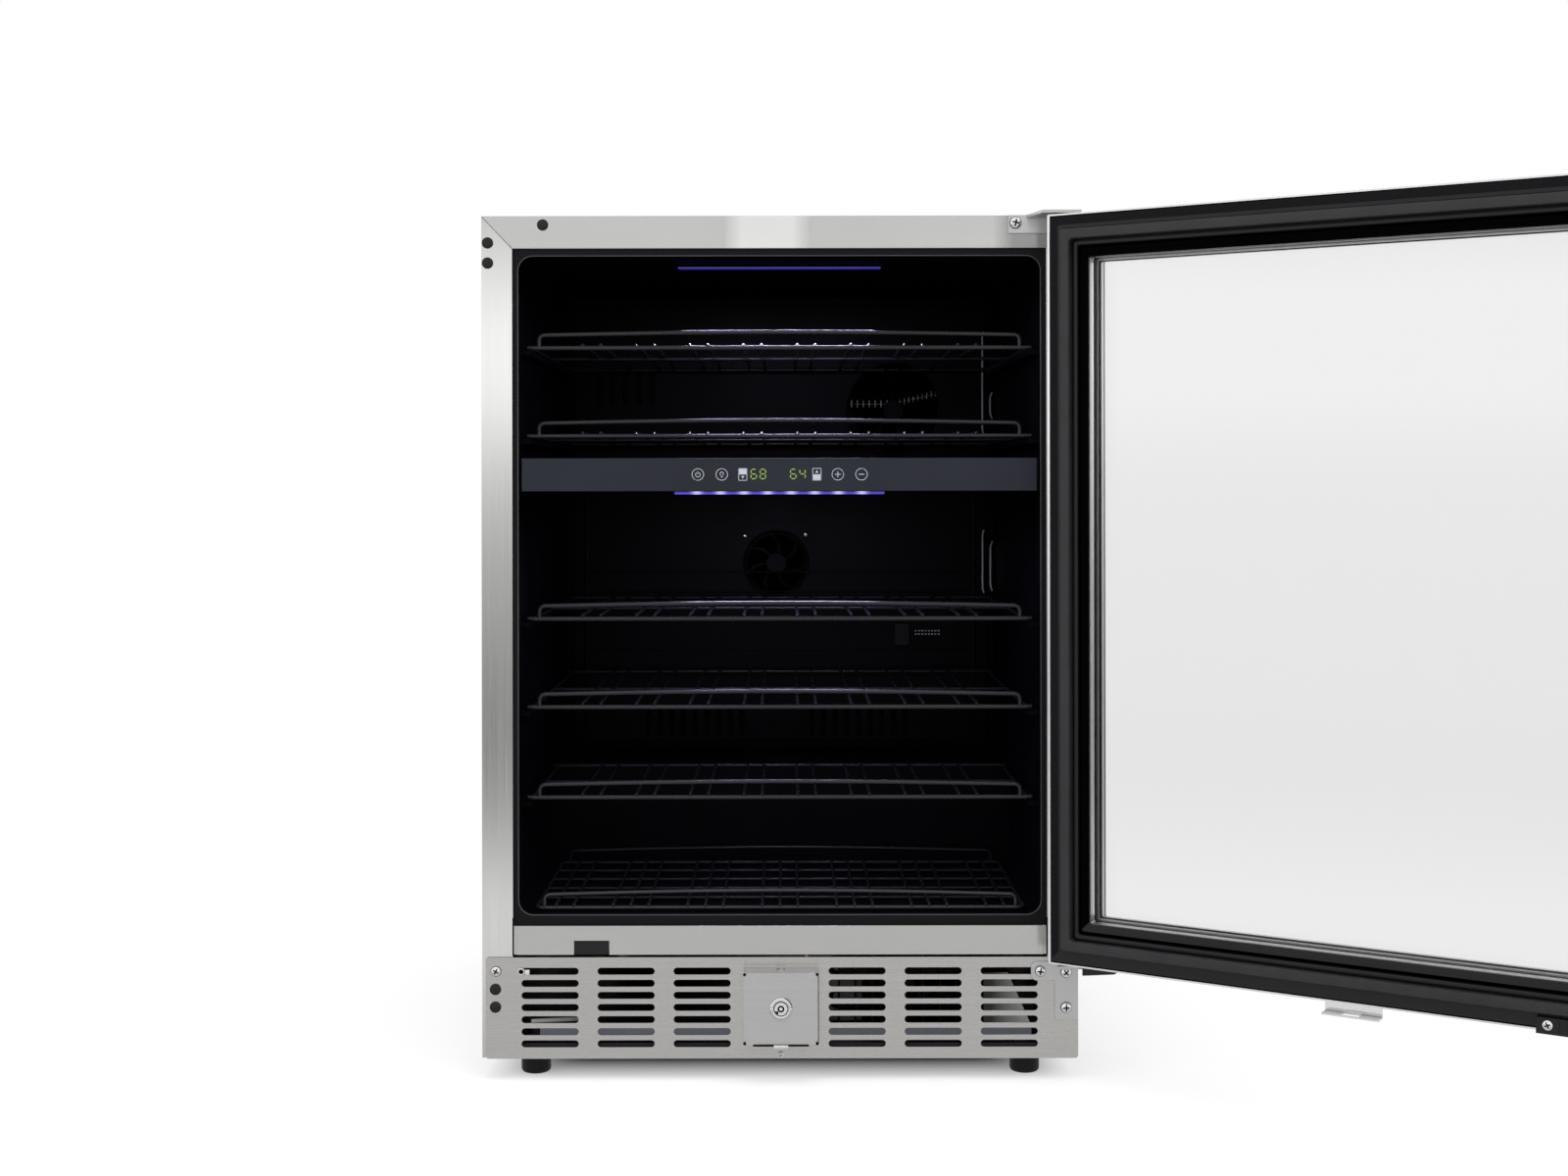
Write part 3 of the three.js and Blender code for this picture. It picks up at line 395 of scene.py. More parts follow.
# Near-black metal for the aluminium fins: painted shade behind the duct covers.
FIN = plain_metal("cooler_fin", 0.0015, 0.5)
ZINC = galvanised("zinc_sheet")
SHELL = powder_coat("black_shell", (0.020, 0.020, 0.022))
ENAMEL = powder_coat("black_enamel", (0.012, 0.012, 0.012), 0.3)
LINER = liner_plastic("liner_plastic")
DOOR_PLASTIC = moulded_plastic("door_plastic", (0.0065, 0.0065, 0.0075), 0.36, grain=900)
FASCIA = moulded_plastic("fascia_plastic", (0.0085, 0.0100, 0.0175), 0.42, shine=0.3)
# Pale plastic for the painted highlight round the cavity's edge.
EDGE = moulded_plastic("liner_edge", (0.035, 0.035, 0.038), 0.3, shine=0.5)
FAN_PLASTIC = moulded_plastic("fan_plastic", (0.0005, 0.0005, 0.0007), 0.6, shine=0.0)
FOOT_PLASTIC = moulded_plastic("foot_plastic", (0.004, 0.004, 0.004), 0.5, grain=700, bump=0.3, shine=0.2)
WIRE = wire_coat("wire_coat")
GUARD = powder_coat("guard_wire_painted_highlight", (0.07, 0.07, 0.075), 0.24, 0.8)
# Black paint on the bay's parts; on the door's outer land the same colour is painted shade.
BLACK_PAINT_AND_SHADE = powder_coat("black_paint_and_painted_shade", (0.004, 0.004, 0.005), 0.5, 0.1)
PAN_PAINT = powder_coat("pan_paint", (0.012, 0.012, 0.015), 0.5, 0.3)
# Painted light: the bay rail and the two gussets glow, standing in for stray light in the machine bay.
PAD = painted_glow_sheet("bay_rail", -0.3, 0.3, 0.10, 0.08, (0.82, 0.84, 1))
GUSSET_LEFT = painted_glow_sheet("bay_gusset_left", -0.25, -0.20, 0.22, 0.05, (1, 1, 0.9))
GUSSET_RIGHT = painted_glow_sheet("bay_gusset_right", 0.214, 0.249, 0.006, 0.17, (0.95, 1, 0.93))
GAP = moulded_plastic("shadow_gap", (0.001, 0.001, 0.001), 0.8, shine=0.0)
# Pale plastic for the sensor grille dots and for the painted highlight strands in the rear corner.
PALE_PLASTIC_AND_HIGHLIGHT = moulded_plastic("pale_plastic_and_painted_highlight", (0.30, 0.30, 0.31), 0.35)
SEAL = rubber("seal_rubber")
FOAM = cut_foam("foam")
BOARD = circuit_board("board")
GLASS_IN = pane_glass("glass_inner_pane", (0.952, 0.952, 0.952, 1), 0.4)
GLASS_OUT = pane_glass("glass_outer_pane", (0.952, 0.952, 0.952, 1), 0.4)
INK = print_ink("printed_ink", (0.42, 0.44, 0.49))
DIGIT = print_ink("lit_digit", (0.13, 0.21, 0.03), 1.2)
LED_PITCH, LED_REACH = 0.0238, 0.095
LED_TOP = light_lens("led_upper_lens", LED_PITCH, LED_REACH, 0.13, 0.0)
LED_MID = light_lens("led_lower_lens", LED_PITCH, LED_REACH, 0.28, 1.9)


# ---------- mesh helpers ----------


def finish_piece(name, bm, material, body="cabinet", smooth=40, replaces=(), edge=0.0):
    """Makes a named piece of a bmesh and lets it ride on a body; a door piece is turned open."""
    bmesh.ops.remove_doubles(bm, verts=bm.verts, dist=0.001)
    bmesh.ops.recalc_face_normals(bm, faces=bm.faces)
    mesh = bpy.data.meshes.new(name)
    bm.to_mesh(mesh)
    bm.free()
    if body == "door":
        mesh.transform(DOOR_TURN)
    mesh.transform(Matrix.Scale(MM, 4))
    mesh.materials.append(material)
    mesh.shade_smooth()
    obj = bpy.data.objects.new(name, mesh)
    bpy.context.scene.collection.objects.link(obj)
    if edge:
        round_edges(obj, edge)
    else:
        mesh.set_sharp_from_angle(angle=math.radians(smooth))
        weighted = obj.modifiers.new("weighted_normal", "WEIGHTED_NORMAL")
        weighted.keep_sharp = True
    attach(obj, body)
    if replaces:
        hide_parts(*replaces)
    return obj


def ring_points(centre, radius, normal, side, count):
    """Points of a circle about `normal`, starting at `side`."""
    other = normal.cross(side)
    angles = [2 * math.pi * i / count for i in range(count)]
    return [centre + radius * (math.cos(a) * side + math.sin(a) * other) for a in angles]


def bridge(bm, ring_a, ring_b):
    """Joins two rings of the same count with a closed band of faces."""
    count = len(ring_a)
    for i in range(count):
        j = (i + 1) % count
        bm.faces.new((ring_a[i], ring_a[j], ring_b[j], ring_b[i]))


def tube(bm, points, radius, sides=10, closed=False):
    """A round wire along a path of points."""
    path = [Vector(p) for p in points]
    count = len(path)
    side = None
    rings = []
    for i, point in enumerate(path):
        before = path[i - 1] if i or closed else point
        after = path[(i + 1) % count] if i < count - 1 or closed else point
        along = (after - before).normalized()
        if side is None:
            side = along.orthogonal().normalized()
        side = (side - along * side.dot(along)).normalized()
        rings.append([bm.verts.new(p) for p in ring_points(point, radius, along, side, sides)])
    for a, b in zip(rings, rings[1:]):
        bridge(bm, a, b)
    if closed:
        bridge(bm, rings[-1], rings[0])
    else:
        bm.faces.new(rings[0])
        bm.faces.new(rings[-1])


def lathe(bm, profile, centre, axis, sides=32):
    """Turns [radius, distance] points about an axis through centre; a zero radius closes an end."""
    axis = Vector(axis).normalized()
    side = axis.orthogonal().normalized()
    previous = None
    for radius, along in profile:
        middle = Vector(centre) + axis * along
        if radius < 1e-6:
            ring = [bm.verts.new(middle)] * sides
        else:
            ring = [bm.verts.new(p) for p in ring_points(middle, radius, axis, side, sides)]
        if previous:
            for i in range(sides):
                j = (i + 1) % sides
                corners = [previous[i], previous[j], ring[j], ring[i]]
                unique = list(dict.fromkeys(corners))
                if len(unique) > 2:
                    bm.faces.new(unique)
        previous = ring


def rounded_rect(x0, x1, z0, z1, radius, steps=6):
    """Points of a rounded rectangle, counter-clockwise from the lower right corner."""
    corners = [(x1 - radius, z0 + radius, -90), (x1 - radius, z1 - radius, 0),
               (x0 + radius, z1 - radius, 90), (x0 + radius, z0 + radius, 180)]
    points = []
    for cx, cz, start in corners:
        for step in range(steps + 1):
            angle = math.radians(start + 90 * step / steps)
            points.append((cx + radius * math.cos(angle), cz + radius * math.sin(angle)))
    return points


def framed(bm, outline, profile):
    """Lofts a closed profile around a rectangle.

    The outline is (x0, x1, z0, z1) and the profile is [(inset, depth, corner radius)].
    """
    x0, x1, z0, z1 = outline
    rings = []
    for inset, depth, radius in profile:
        points = rounded_rect(x0 + inset, x1 - inset, z0 + inset, z1 - inset, max(radius, 0.05))
        rings.append([bm.verts.new((x, depth, z)) for x, z in points])
    for a, b in zip(rings, rings[1:] + rings[:1]):
        bridge(bm, a, b)


def drop_side(bm, unwanted):
    """Removes the faces whose middle is unwanted."""
    faces = [face for face in bm.faces if unwanted(face.calc_center_median())]
    bmesh.ops.delete(bm, geom=faces, context="FACES")


def band(inset_a, inset_b, y0, y1):
    """Profile of a flat ring for framed()."""
    return [(inset_a, y0, 2), (inset_a, y1, 2), (inset_b, y1, 2), (inset_b, y0, 2)]


def block(bm, x, y, z, edge=0.8, segments=2):
    """A block between the given pairs with rounded edges."""
    size = [b - a for a, b in (x, y, z)]
    middle = [(a + b) / 2 for a, b in (x, y, z)]
    matrix = Matrix.Translation(middle) @ Matrix.Diagonal((*size, 1))
    made = bmesh.ops.create_cube(bm, size=1, matrix=matrix)
    edges = {e for v in made["verts"] for e in v.link_edges}
    bmesh.ops.bevel(bm, geom=list(edges), offset=edge, segments=segments, affect="EDGES", profile=0.5)


def evaluated_mesh(holder):
    """The mesh an object shows, with its modifiers; the object is then removed."""
    bpy.context.scene.collection.objects.link(holder)
    graph = bpy.context.evaluated_depsgraph_get()
    mesh = bpy.data.meshes.new_from_object(holder.evaluated_get(graph))
    bpy.data.objects.remove(holder)
    return mesh


def cut_plate(outlines, y0, y1):
    """A flat plate in the XZ plane whose first outline is the rim and the others are holes."""
    curve = bpy.data.curves.new("plate", "CURVE")
    curve.dimensions = "2D"
    curve.fill_mode = "BOTH"
    curve.extrude = (y1 - y0) / 2
    for points in outlines:
        spline = curve.splines.new("POLY")
        spline.points.add(len(points) - 1)
        for target, (x, z) in zip(spline.points, points):
            target.co = (x, z, 0, 1)
        spline.use_cyclic_u = True
    mesh = evaluated_mesh(bpy.data.objects.new("plate", curve))
    mesh.transform(Matrix.Rotation(math.pi / 2, 4, "X"))
    mesh.transform(Matrix.Translation((0, (y0 + y1) / 2, 0)))
    bm = bmesh.new()
    bm.from_mesh(mesh)
    return bm


def circle(x, z, radius, steps=24):
    angles = [2 * math.pi * i / steps for i in range(steps)]
    return [(x + radius * math.cos(a), z + radius * math.sin(a)) for a in angles]


def hoop(x, y, z, radius, steps=24):
    """Centre line of an upright ring that faces the front."""
    return [Vector((px, y, pz)) for px, pz in circle(x, z, radius, steps)]


def stadium(x0, x1, z, height):
    """Outline of a slot with round ends."""
    return rounded_rect(x0, x1, z - height / 2, z + height / 2, height / 2 - 0.01, 8)


def carve(bm, cutter):
    """Cuts one closed shape out of another and returns the result."""
    meshes = []
    for part in (bm, cutter):
        bmesh.ops.recalc_face_normals(part, faces=part.faces)
        mesh = bpy.data.meshes.new("part")
        part.to_mesh(mesh)
        part.free()
        meshes.append(mesh)
    body, tool = [bpy.data.objects.new("part", mesh) for mesh in meshes]
    bpy.context.scene.collection.objects.link(tool)
    boolean = body.modifiers.new("cut", "BOOLEAN")
    boolean.object = tool
    boolean.solver = "EXACT"
    result = bmesh.new()
    result.from_mesh(evaluated_mesh(body))
    bpy.data.objects.remove(tool)
    return result


def rounded_path(points, radius, closed=False):
    """The points of a path with each corner rounded."""
    steps = 5
    path = [Vector(p) for p in points]
    count = len(path)
    result = []
    for i, corner in enumerate(path):
        if not closed and i in (0, count - 1):
            result.append(corner)
            continue
        back = path[i - 1] - corner
        on = path[(i + 1) % count] - corner
        reach = min(radius, back.length * 0.49, on.length * 0.49)
        start = corner + back.normalized() * reach
        end = corner + on.normalized() * reach
        for step in range(steps + 1):
            t = step / steps
            result.append(start * (1 - t) ** 2 + corner * (2 * t * (1 - t)) + end * t * t)
    return result


def flat(bm, points, y0, y1):
    """Extrudes a polygon drawn in X and Z from depth y0 to y1."""
    near = [bm.verts.new((x, y0, z)) for x, z in points]
    far = [bm.verts.new((x, y1, z)) for x, z in points]
    bm.faces.new(near)
    bm.faces.new(far)
    bridge(bm, near, far)


def stroke(bm, a, b, width, y0, y1):
    """A straight printed line with square ends."""
    start, end = Vector(a), Vector(b)
    side = (end - start).normalized().orthogonal() * width / 2
    flat(bm, [start + side, start - side, end - side, end + side], y0, y1)


def arc_stroke(bm, x, z, radius, width, y0, y1, start=0, end=360, steps=28):
    """A printed arc; angles are in degrees, counter-clockwise from the right."""
    angles = [math.radians(start + (end - start) * i / steps) for i in range(steps + 1)]
    outer = [(x + (radius + width / 2) * math.cos(a), z + (radius + width / 2) * math.sin(a)) for a in angles]
    inner = [(x + (radius - width / 2) * math.cos(a), z + (radius - width / 2) * math.sin(a)) for a in angles]
    for i in range(steps):
        flat(bm, [outer[i], outer[i + 1], inner[i + 1], inner[i]], y0, y1)


def round_edges(obj, edge, segments=2):
    """Rounds the sharp edges of an object and keeps its flat faces flat."""
    weld = obj.modifiers.new("weld", "WELD")
    weld.merge_threshold = 0.00001
    planes = obj.modifiers.new("planes", "DECIMATE")
    planes.decimate_type = "DISSOLVE"
    planes.angle_limit = math.radians(0.5)
    bevel = obj.modifiers.new("bevel", "BEVEL")
    bevel.width = edge * MM
    bevel.segments = segments
    bevel.limit_method = "ANGLE"
    bevel.angle_limit = math.radians(35)
    bevel.use_clamp_overlap = True
    bevel.harden_normals = True


def refine(node, material, edge=0.35, segments=2):
    """Gives a CAD node its material and softens its sharp edges."""
    obj = frame["nodes"][node]
    obj.data.materials.clear()
    obj.data.materials.append(material)
    if edge:
        round_edges(obj, edge, segments)
        for attribute in ("custom_normal", "sharp_edge"):
            if attribute in obj.data.attributes:
                obj.data.attributes.remove(obj.data.attributes[attribute])
        obj.data.shade_smooth()
    return obj


# ---------- fasteners ----------

RECESS_FLOOR = 0.35  # height of the cross recess floor, as a share of the head's height


def pan_head(radius, height, facing="-Y"):
    """A pan-head screw head with a cross recess, seated at the origin and facing -Y or +Y."""
    head = bmesh.new()
    profile = [(0, 0), (1.1 * radius, 0), (1.1 * radius, 0.2), (radius, 0.25), (radius, 0.4 * height),
               (0.94 * radius, 0.6 * height), (0.78 * radius, 0.8 * height), (0.5 * radius, 0.94 * height),
               (0, height)]
    lathe(head, profile, (0, 0, 0), (0, -1, 0), 32)
    long, thin = 0.66 * radius, 0.15 * radius
    floor_depth = RECESS_FLOOR * height
    for half_x, half_z in ((long, thin), (thin, long)):
        slot = bmesh.new()
        block(slot, (-half_x, half_x), (-height - 1, -floor_depth), (-half_z, half_z), 0.05, 1)
        head = carve(head, slot)
    if facing == "+Y":
        bmesh.ops.transform(head, matrix=Matrix.Rotation(math.pi, 4, "Z"), verts=head.verts)
    return head


def screw(name, place, radius, height, body="cabinet", facing="-Y", spin=0.0, replaces=()):
    """A screw with a steel head; its black recess floor is painted shade and its black rim where it meets the
    sheet is a painted contact shadow.
    """
    head = pan_head(radius, height, facing)
    for face in head.faces:
        centre = face.calc_center_median()
        # The recess floor and the rim at the sheet get the black shadow_gap material: painted shade.
        on_floor = abs(abs(centre.y) - RECESS_FLOOR * height) < 0.05
        recess = on_floor and math.hypot(centre.x, centre.z) < 0.7 * radius
        rim = abs(centre.y) < 0.26
        face.material_index = int(recess or rim)
    matrix = Matrix.Translation(place) @ Matrix.Rotation(math.radians(spin), 4, "Y")
    bmesh.ops.transform(head, matrix=matrix, verts=head.verts)
    finish_piece(name, head, SCREW, body, 35, replaces).data.materials.append(GAP)


def hole_plug(name, x, z, y):
    bm = bmesh.new()
    lathe(bm, [(0, -3), (3.7, -3), (3.7, 0), (5.7, 0), (5.7, 0.7), (4.9, 1.4), (3.2, 1.8), (0, 1.9)],
          (x, y, z), (0, -1, 0), 28)
    finish_piece(name, bm, DOOR_PLASTIC)


# ---------- cabinet ----------


def cabinet_shell():
    refine("outer_shell", SHELL, 0.4)
    refine("back_panel", ZINC, 0.3)
    refine("machine_bay_panel", ZINC, 0.3)
    refine("base_pan", PAN_PAINT, 0.3)
    refine("foam_insulation", FOAM, 0)
    refine("inner_liner", LINER, 0.7)
    # A pale tube round the cavity's edge: a painted highlight along the liner's rounded lip.
    edge = bmesh.new()
    opening = (-261.5, 261.5, 165.2, 824.4)
    outline = rounded_rect(*opening, 15, 8)
    tube(edge, [(x, liner_low.y + 0.2, z) for x, z in outline], 0.6, 8, closed=True)
    finish_piece("liner_edge_highlight", edge, EDGE)
    refine("front_frame_left", STEEL_UP, 0.35)
    refine("front_frame_right", STEEL_UP, 0.35)
    refine("front_frame_top", STEEL_TOP, 0.35)
    refine("front_frame_bottom", STEEL_ACROSS, 0.35)


def machine_cover():
    low, high = cad("machine_cover")
    inlet_low, inlet_high = cad("power_inlet")
    outlines = [rounded_rect(low.x, high.x, low.z, high.z, 2)]
    half_slot, lowest, pitch = 60, 70, 20
    for row in range(8):
        for middle in (-150, 40):
            outlines.append(stadium(middle - half_slot, middle + half_slot, lowest + row * pitch, 8))
    outlines.append(rounded_rect(inlet_low.x - 1, inlet_high.x + 1, inlet_low.z - 1, inlet_high.z + 1, 1))
    finish_piece("machine_cover_sheet", cut_plate(outlines, low.y, high.y), ZINC,
                 replaces=("machine_cover",), edge=0.3)
    for i, (x, z) in enumerate([(-280, 228), (0, 236), (280, 228), (-280, 60), (280, 60)]):
        screw(f"rear_cover_screw_{i + 1}", (x, high.y, z), 4.0, 1.9, facing="+Y", spin=20 * i)


KICK_PLUGS = [(-284, 92.3), (-284, 74.6)]
KICK_SCREW = (-283.5, 110.3)
BOTTOM_SCREWS = [(259.3, 110.2), (284.9, 109.1), (284.9, 74.1)]


def kick_plate():
    """The vented sheet: two sides of three groups of seven slots."""
    outlines = [rounded_rect(kick_low.x, kick_high.x, kick_low.z, kick_high.z, 3)]
    half_slot, top_row, row_pitch = 28.5, 110.2, 12.05
    first_group, group_pitch, off_centre = 77.3, 75.85, -0.5
    for row in range(7):
        z = top_row - row_pitch * row
        for side in (-1, 1):
            for group in range(3):
                middle = side * (first_group + group_pitch * group) + off_centre
                outlines.append(stadium(middle - half_slot, middle + half_slot, z, 7))
    for x, z in KICK_PLUGS:
        outlines.append(circle(x, z, 4))
    for x, z in (KICK_SCREW, *BOTTOM_SCREWS):
        outlines.append(circle(x, z, 2.3))
    finish_piece("kick_plate_sheet", cut_plate(outlines, kick_low.y, kick_high.y), STEEL_KICK,
                 replaces=("kick_plate",), edge=0.35)


def small_front_parts():
    face = kick_low.y
    for i, (x, z) in enumerate([(-291.2, 837.2), (-291.2, 817.1), (-236.1, 855.1)]):
        hole_plug(f"hole_plug_{i + 1}", x, z, 0)
    for i, (x, z) in enumerate(KICK_PLUGS):
        hole_plug(f"hole_plug_{i + 4}", x, z, face)
    screw("kick_plate_screw", (KICK_SCREW[0], face, KICK_SCREW[1]), 4.8, 2.4, spin=31)
    block_bm = bmesh.new()
    block(block_bm, (-204.9, -171.5), (-0.4, 3), (126.3, 139.2), 0.35)
    finish_piece("bottom_rail_block", block_bm, DOOR_PLASTIC)
    ring = bmesh.new()
    tube(ring, hoop(-258.2, face - 1.2, 110, 3.0), 0.9, 8, closed=True)
    block(ring, (-254.6, -249.8), (face - 1.4, face - 0.1), (106.6, 112.2), 0.5)
    finish_piece("ring_tab", ring, NICKEL)
    # Painted shadow: black strips proud of the steel at the two stile joints, and a black disc that darkens
    # the hole of the ring tab.
    shadow_strips = bmesh.new()
    lathe(shadow_strips, [(0, 0), (2.6, 0), (2.6, 0.9), (0, 0.9)], (-258.2, face, 110), (0, -1, 0), 20)
    for x in (-HALF_WIDTH + STILE, HALF_WIDTH - STILE):
        block(shadow_strips, (x - 0.6, x + 0.6), (-0.15, 0.6), (125, 163), 0.1, 1)
    finish_piece("joint_shadow_strips", shadow_strips, GAP)


def brackets():
    refine("top_hinge_bracket", BRACKET, 0.5)
    refine("bottom_hinge_bracket", BRACKET, 0.5)
    frame_face, sheet = 0, 2.6
    heads = [("top_screw_head", "top_hinge_screw", frame_face, 5.5, 12)]
    for i in range(3):
        name, node = f"bottom_screw_head_{i + 1}", f"bottom_hinge_screw_{i + 1}"
        heads.append((name, node, kick_low.y, 5.0, 40 * i + 8))
    for name, node, face, radius, spin in heads:
        low, high = cad(node)
        place = ((low.x + high.x) / 2, face - sheet, (low.z + high.z) / 2)
        screw(name, place, radius, 3.0, spin=spin, replaces=(node,))
    bush = bmesh.new()
    lathe(bush, [(0, 0), (6.5, 0), (7, 0.8), (7, 2.2), (4.2, 2.4), (4.2, 4.5), (0, 4.5)],
          (HINGE.x, HINGE.y, 124), (0, 0, 1), 28)
    finish_piece("hinge_bush", bush, DOOR_PLASTIC)


def lock():
    refine("lock_housing", BRACKET, 1.1, 3)
    cylinder_low, cylinder_high = cad("lock_cylinder")
    front = cylinder_low.y
    middle = (lock_low.x + lock_high.x) / 2
    z = (cylinder_low.z + cylinder_high.z) / 2
    ring = bmesh.new()
    lathe(ring, [(7.4, 3), (7.4, 0.6), (8.2, 0), (9.4, 0), (10.6, 0.7), (11.2, 1.6), (11.2, 3.4), (7.4, 3.4)],
          (middle, front - 0.9, z), (0, 1, 0), 40)
    finish_piece("lock_ring", ring, NICKEL)
    barrel = bmesh.new()
    lathe(barrel, [(0, 6), (7, 6), (7, 0.8), (6.4, 0), (0, 0)], (middle, front, z), (0, 1, 0), 40)
    key = bmesh.new()
    lathe(key, [(1.7, -2), (3.4, -2), (3.4, 3), (1.7, 3), (1.7, -2)], (middle, front, z), (0, 1, 0), 28)
    barrel = carve(barrel, key)
    notch = bmesh.new()
    block(notch, (middle - 6.4, middle - 2.6), (front - 2, front + 3), (z - 5.4, z - 2.2), 0.3, 1)
    barrel = carve(barrel, notch)
    # A black disc on the floor of the key groove: painted shade in the recess.
    well = bmesh.new()
    lathe(well, [(0, 2.2), (6, 2.2), (6, 3.0), (0, 3.0)], (middle, front, z), (0, 1, 0), 24)
    finish_piece("lock_key_well", well, GAP, "lock_barrel")
    finish_piece("lock_barrel_face", barrel, NICKEL, "lock_barrel",
                 replaces=("lock_cylinder",))
    bolt_low, bolt_high = cad("lock_bolt")
    bolt = bmesh.new()
    height = bolt_high.z - bolt_low.z
    lathe(bolt, [(0, 0), (3.6, 0), (4, 0.4), (4, height - 1.2), (3.2, height - 0.2), (2.6, height),
                 (0, height)], (middle, (bolt_low.y + bolt_high.y) / 2, bolt_low.z), (0, 0, 1), 28)
    finish_piece("lock_bolt_pin", bolt, NICKEL, "lock_pin", replaces=("lock_bolt",))
    dots = bmesh.new()
    for x in (lock_low.x + 1.2, lock_high.x - 1.2):
        for dot_z in (lock_low.z + 1.2, lock_high.z - 1.2):
            lathe(dots, [(0, 0), (1.5, 0), (1.2, 0.4), (0, 0.5)], (x, lock_low.y, dot_z), (0, -1, 0), 14)
    # A black strip down the box's right edge: a painted shadow.
    block(dots, (lock_high.x - 0.5, lock_high.x + 0.3), (lock_low.y + 1, lock_low.y + 2),
          (lock_low.z, lock_high.z), 0.2)
    block(dots, (middle - 27.5, middle + 27.5), (lock_low.y + 0.6, lock_low.y + 4), (41.2, 43), 0.2)
    # A black crescent at the upper right of the lock ring: a painted shadow.
    arc_stroke(dots, middle, z, 10.4, 1.7, lock_low.y - 0.7, lock_low.y - 0.4, 5, 70, 12)
    finish_piece("lock_box_dark_marks_and_shadows", dots, GAP)
    tab = bmesh.new()
    block(tab, (middle - 7.3, middle + 7.2), (lock_low.y, lock_low.y + 5), (38, 42.8), 0.6)
    tube(tab, hoop(middle - 0.3, kick_low.y - 0.8, 27, 2.4), 0.7, 8, closed=True)
    finish_piece("lock_box_tab", tab, NICKEL)


def feet():
    for where in ("front_left", "front_right", "back_left", "back_right"):
        node = f"foot_{where}"
        low, high = cad(node)
        x, y = (low.x + high.x) / 2, (low.y + high.y) / 2
        radius = (high.x - low.x) / 2
        profile = [(0, 0), (radius - 4, 0), (radius - 1.6, 0.8), (radius - 0.3, 2.4), (radius, 4.2),
                   (radius, 19.8), (radius - 0.5, 21.4), (radius - 1.8, 22.4), (6, 22.6), (4, 22.6)]
        thread = int(high.z - 24)
        for step in range(thread):
            z = 23 + step
            profile += [(4, z), (4, z + 0.4), (3.4, z + 0.6), (3.4, z + 0.8)]
        profile += [(4, high.z - 0.6), (3.4, high.z), (0, high.z)]
        bm = bmesh.new()
        lathe(bm, profile, (x, y, 0), (0, 0, 1), 40)
        finish_piece(f"foot_pad_{where}", bm, FOOT_PLASTIC, f"levelling_foot_{where}",
                     replaces=(node,))


# ---------- cavity ----------


def printed_digits():
    """The two zone temperatures in seven-segment digits on the control strip."""
    front = fascia_low.y
    segments = {"6": "afgedc", "8": "abcdefg", "4": "fgbc"}
    bm = bmesh.new()
    width, height, line = 5.4, 9.4, 0.95
    for start, text in ((-28.4, "68"), (11.2, "64")):
        for place, digit in enumerate(text):
            x0 = start + place * 9.2
            x1, z0 = x0 + width, 601.4
            zm, z1 = z0 + height / 2, z0 + height
            ends = {"a": ((x0, z1), (x1, z1)), "b": ((x1, zm), (x1, z1)), "c": ((x1, z0), (x1, zm)),
                    "d": ((x0, z0), (x1, z0)), "e": ((x0, z0), (x0, zm)), "f": ((x0, zm), (x0, z1)),
                    "g": ((x0, zm), (x1, zm))}
            for segment in segments[digit]:
                a, b = (Vector(end) for end in ends[segment])
                along = (b - a).normalized() * 0.85
                stroke(bm, a + along, b - along, line, front - 0.12, front)
    finish_piece("temperature_digits", bm, DIGIT)


def printed_icons():
    """Ring-shaped touch marks and the two zone marks on the control strip."""
    front = fascia_low.y
    span = (front - 0.12, front)
    z = 605.7
    bm = bmesh.new()
    for x in (-81.5, -57.6, 58.4, 82.1):
        arc_stroke(bm, x, z, 5.8, 0.55, *span)
    arc_stroke(bm, -81.5, z - 0.2, 2.3, 0.6, *span, start=120, end=420, steps=16)
    stroke(bm, (-81.5, z + 0.4), (-81.5, z + 3.1), 0.6, *span)
    arc_stroke(bm, -57.6, z + 0.7, 1.7, 0.6, *span, start=-50, end=230, steps=14)
    stroke(bm, (-58.6, z - 1.7), (-56.6, z - 1.7), 0.6, *span)
    stroke(bm, (-58.3, z - 2.7), (-56.9, z - 2.7), 0.5, *span)
    for x, plus in ((58.4, True), (82.1, False)):
        stroke(bm, (x - 2.8, z), (x + 2.8, z), 0.75, *span)
        if plus:
            stroke(bm, (x, z - 2.8), (x, z + 2.8), 0.75, *span)
    for x, upper in ((-36.6, True), (37.5, False)):
        half_x, half_z = 4.1, 5.9
        corners = [(x + i * half_x, z + j * half_z) for i, j in ((-1, -1), (1, -1), (1, 1), (-1, 1))]
        for a, b in zip(corners, corners[1:] + corners[:1]):
            stroke(bm, a, b, 0.6, *span)
        fill = 1 if upper else -1
        edge_z = z + fill * half_z
        flat(bm, [(x - half_x, z), (x + half_x, z), (x + half_x, edge_z), (x - half_x, edge_z)], *span)
        tip = -fill
        flat(bm, [(x - 1.6, z + tip * 1.6), (x + 1.6, z + tip * 1.6), (x, z + tip * 4.2)], *span)
    finish_piece("printed_marks", bm, INK)


def light_bars():
    refine("led_bar_upper", LED_TOP, 0.9)
    refine("led_bar_lower", LED_MID, 0.9)
    shade = bmesh.new()
    low, high = cad("led_bar_upper")
    block(shade, (low.x, high.x), (low.y - 0.5, low.y + 0.3), (low.z + 1.4, high.z + 0.2), 0.2)
    finish_piece("light_bar_shade", shade, GAP)


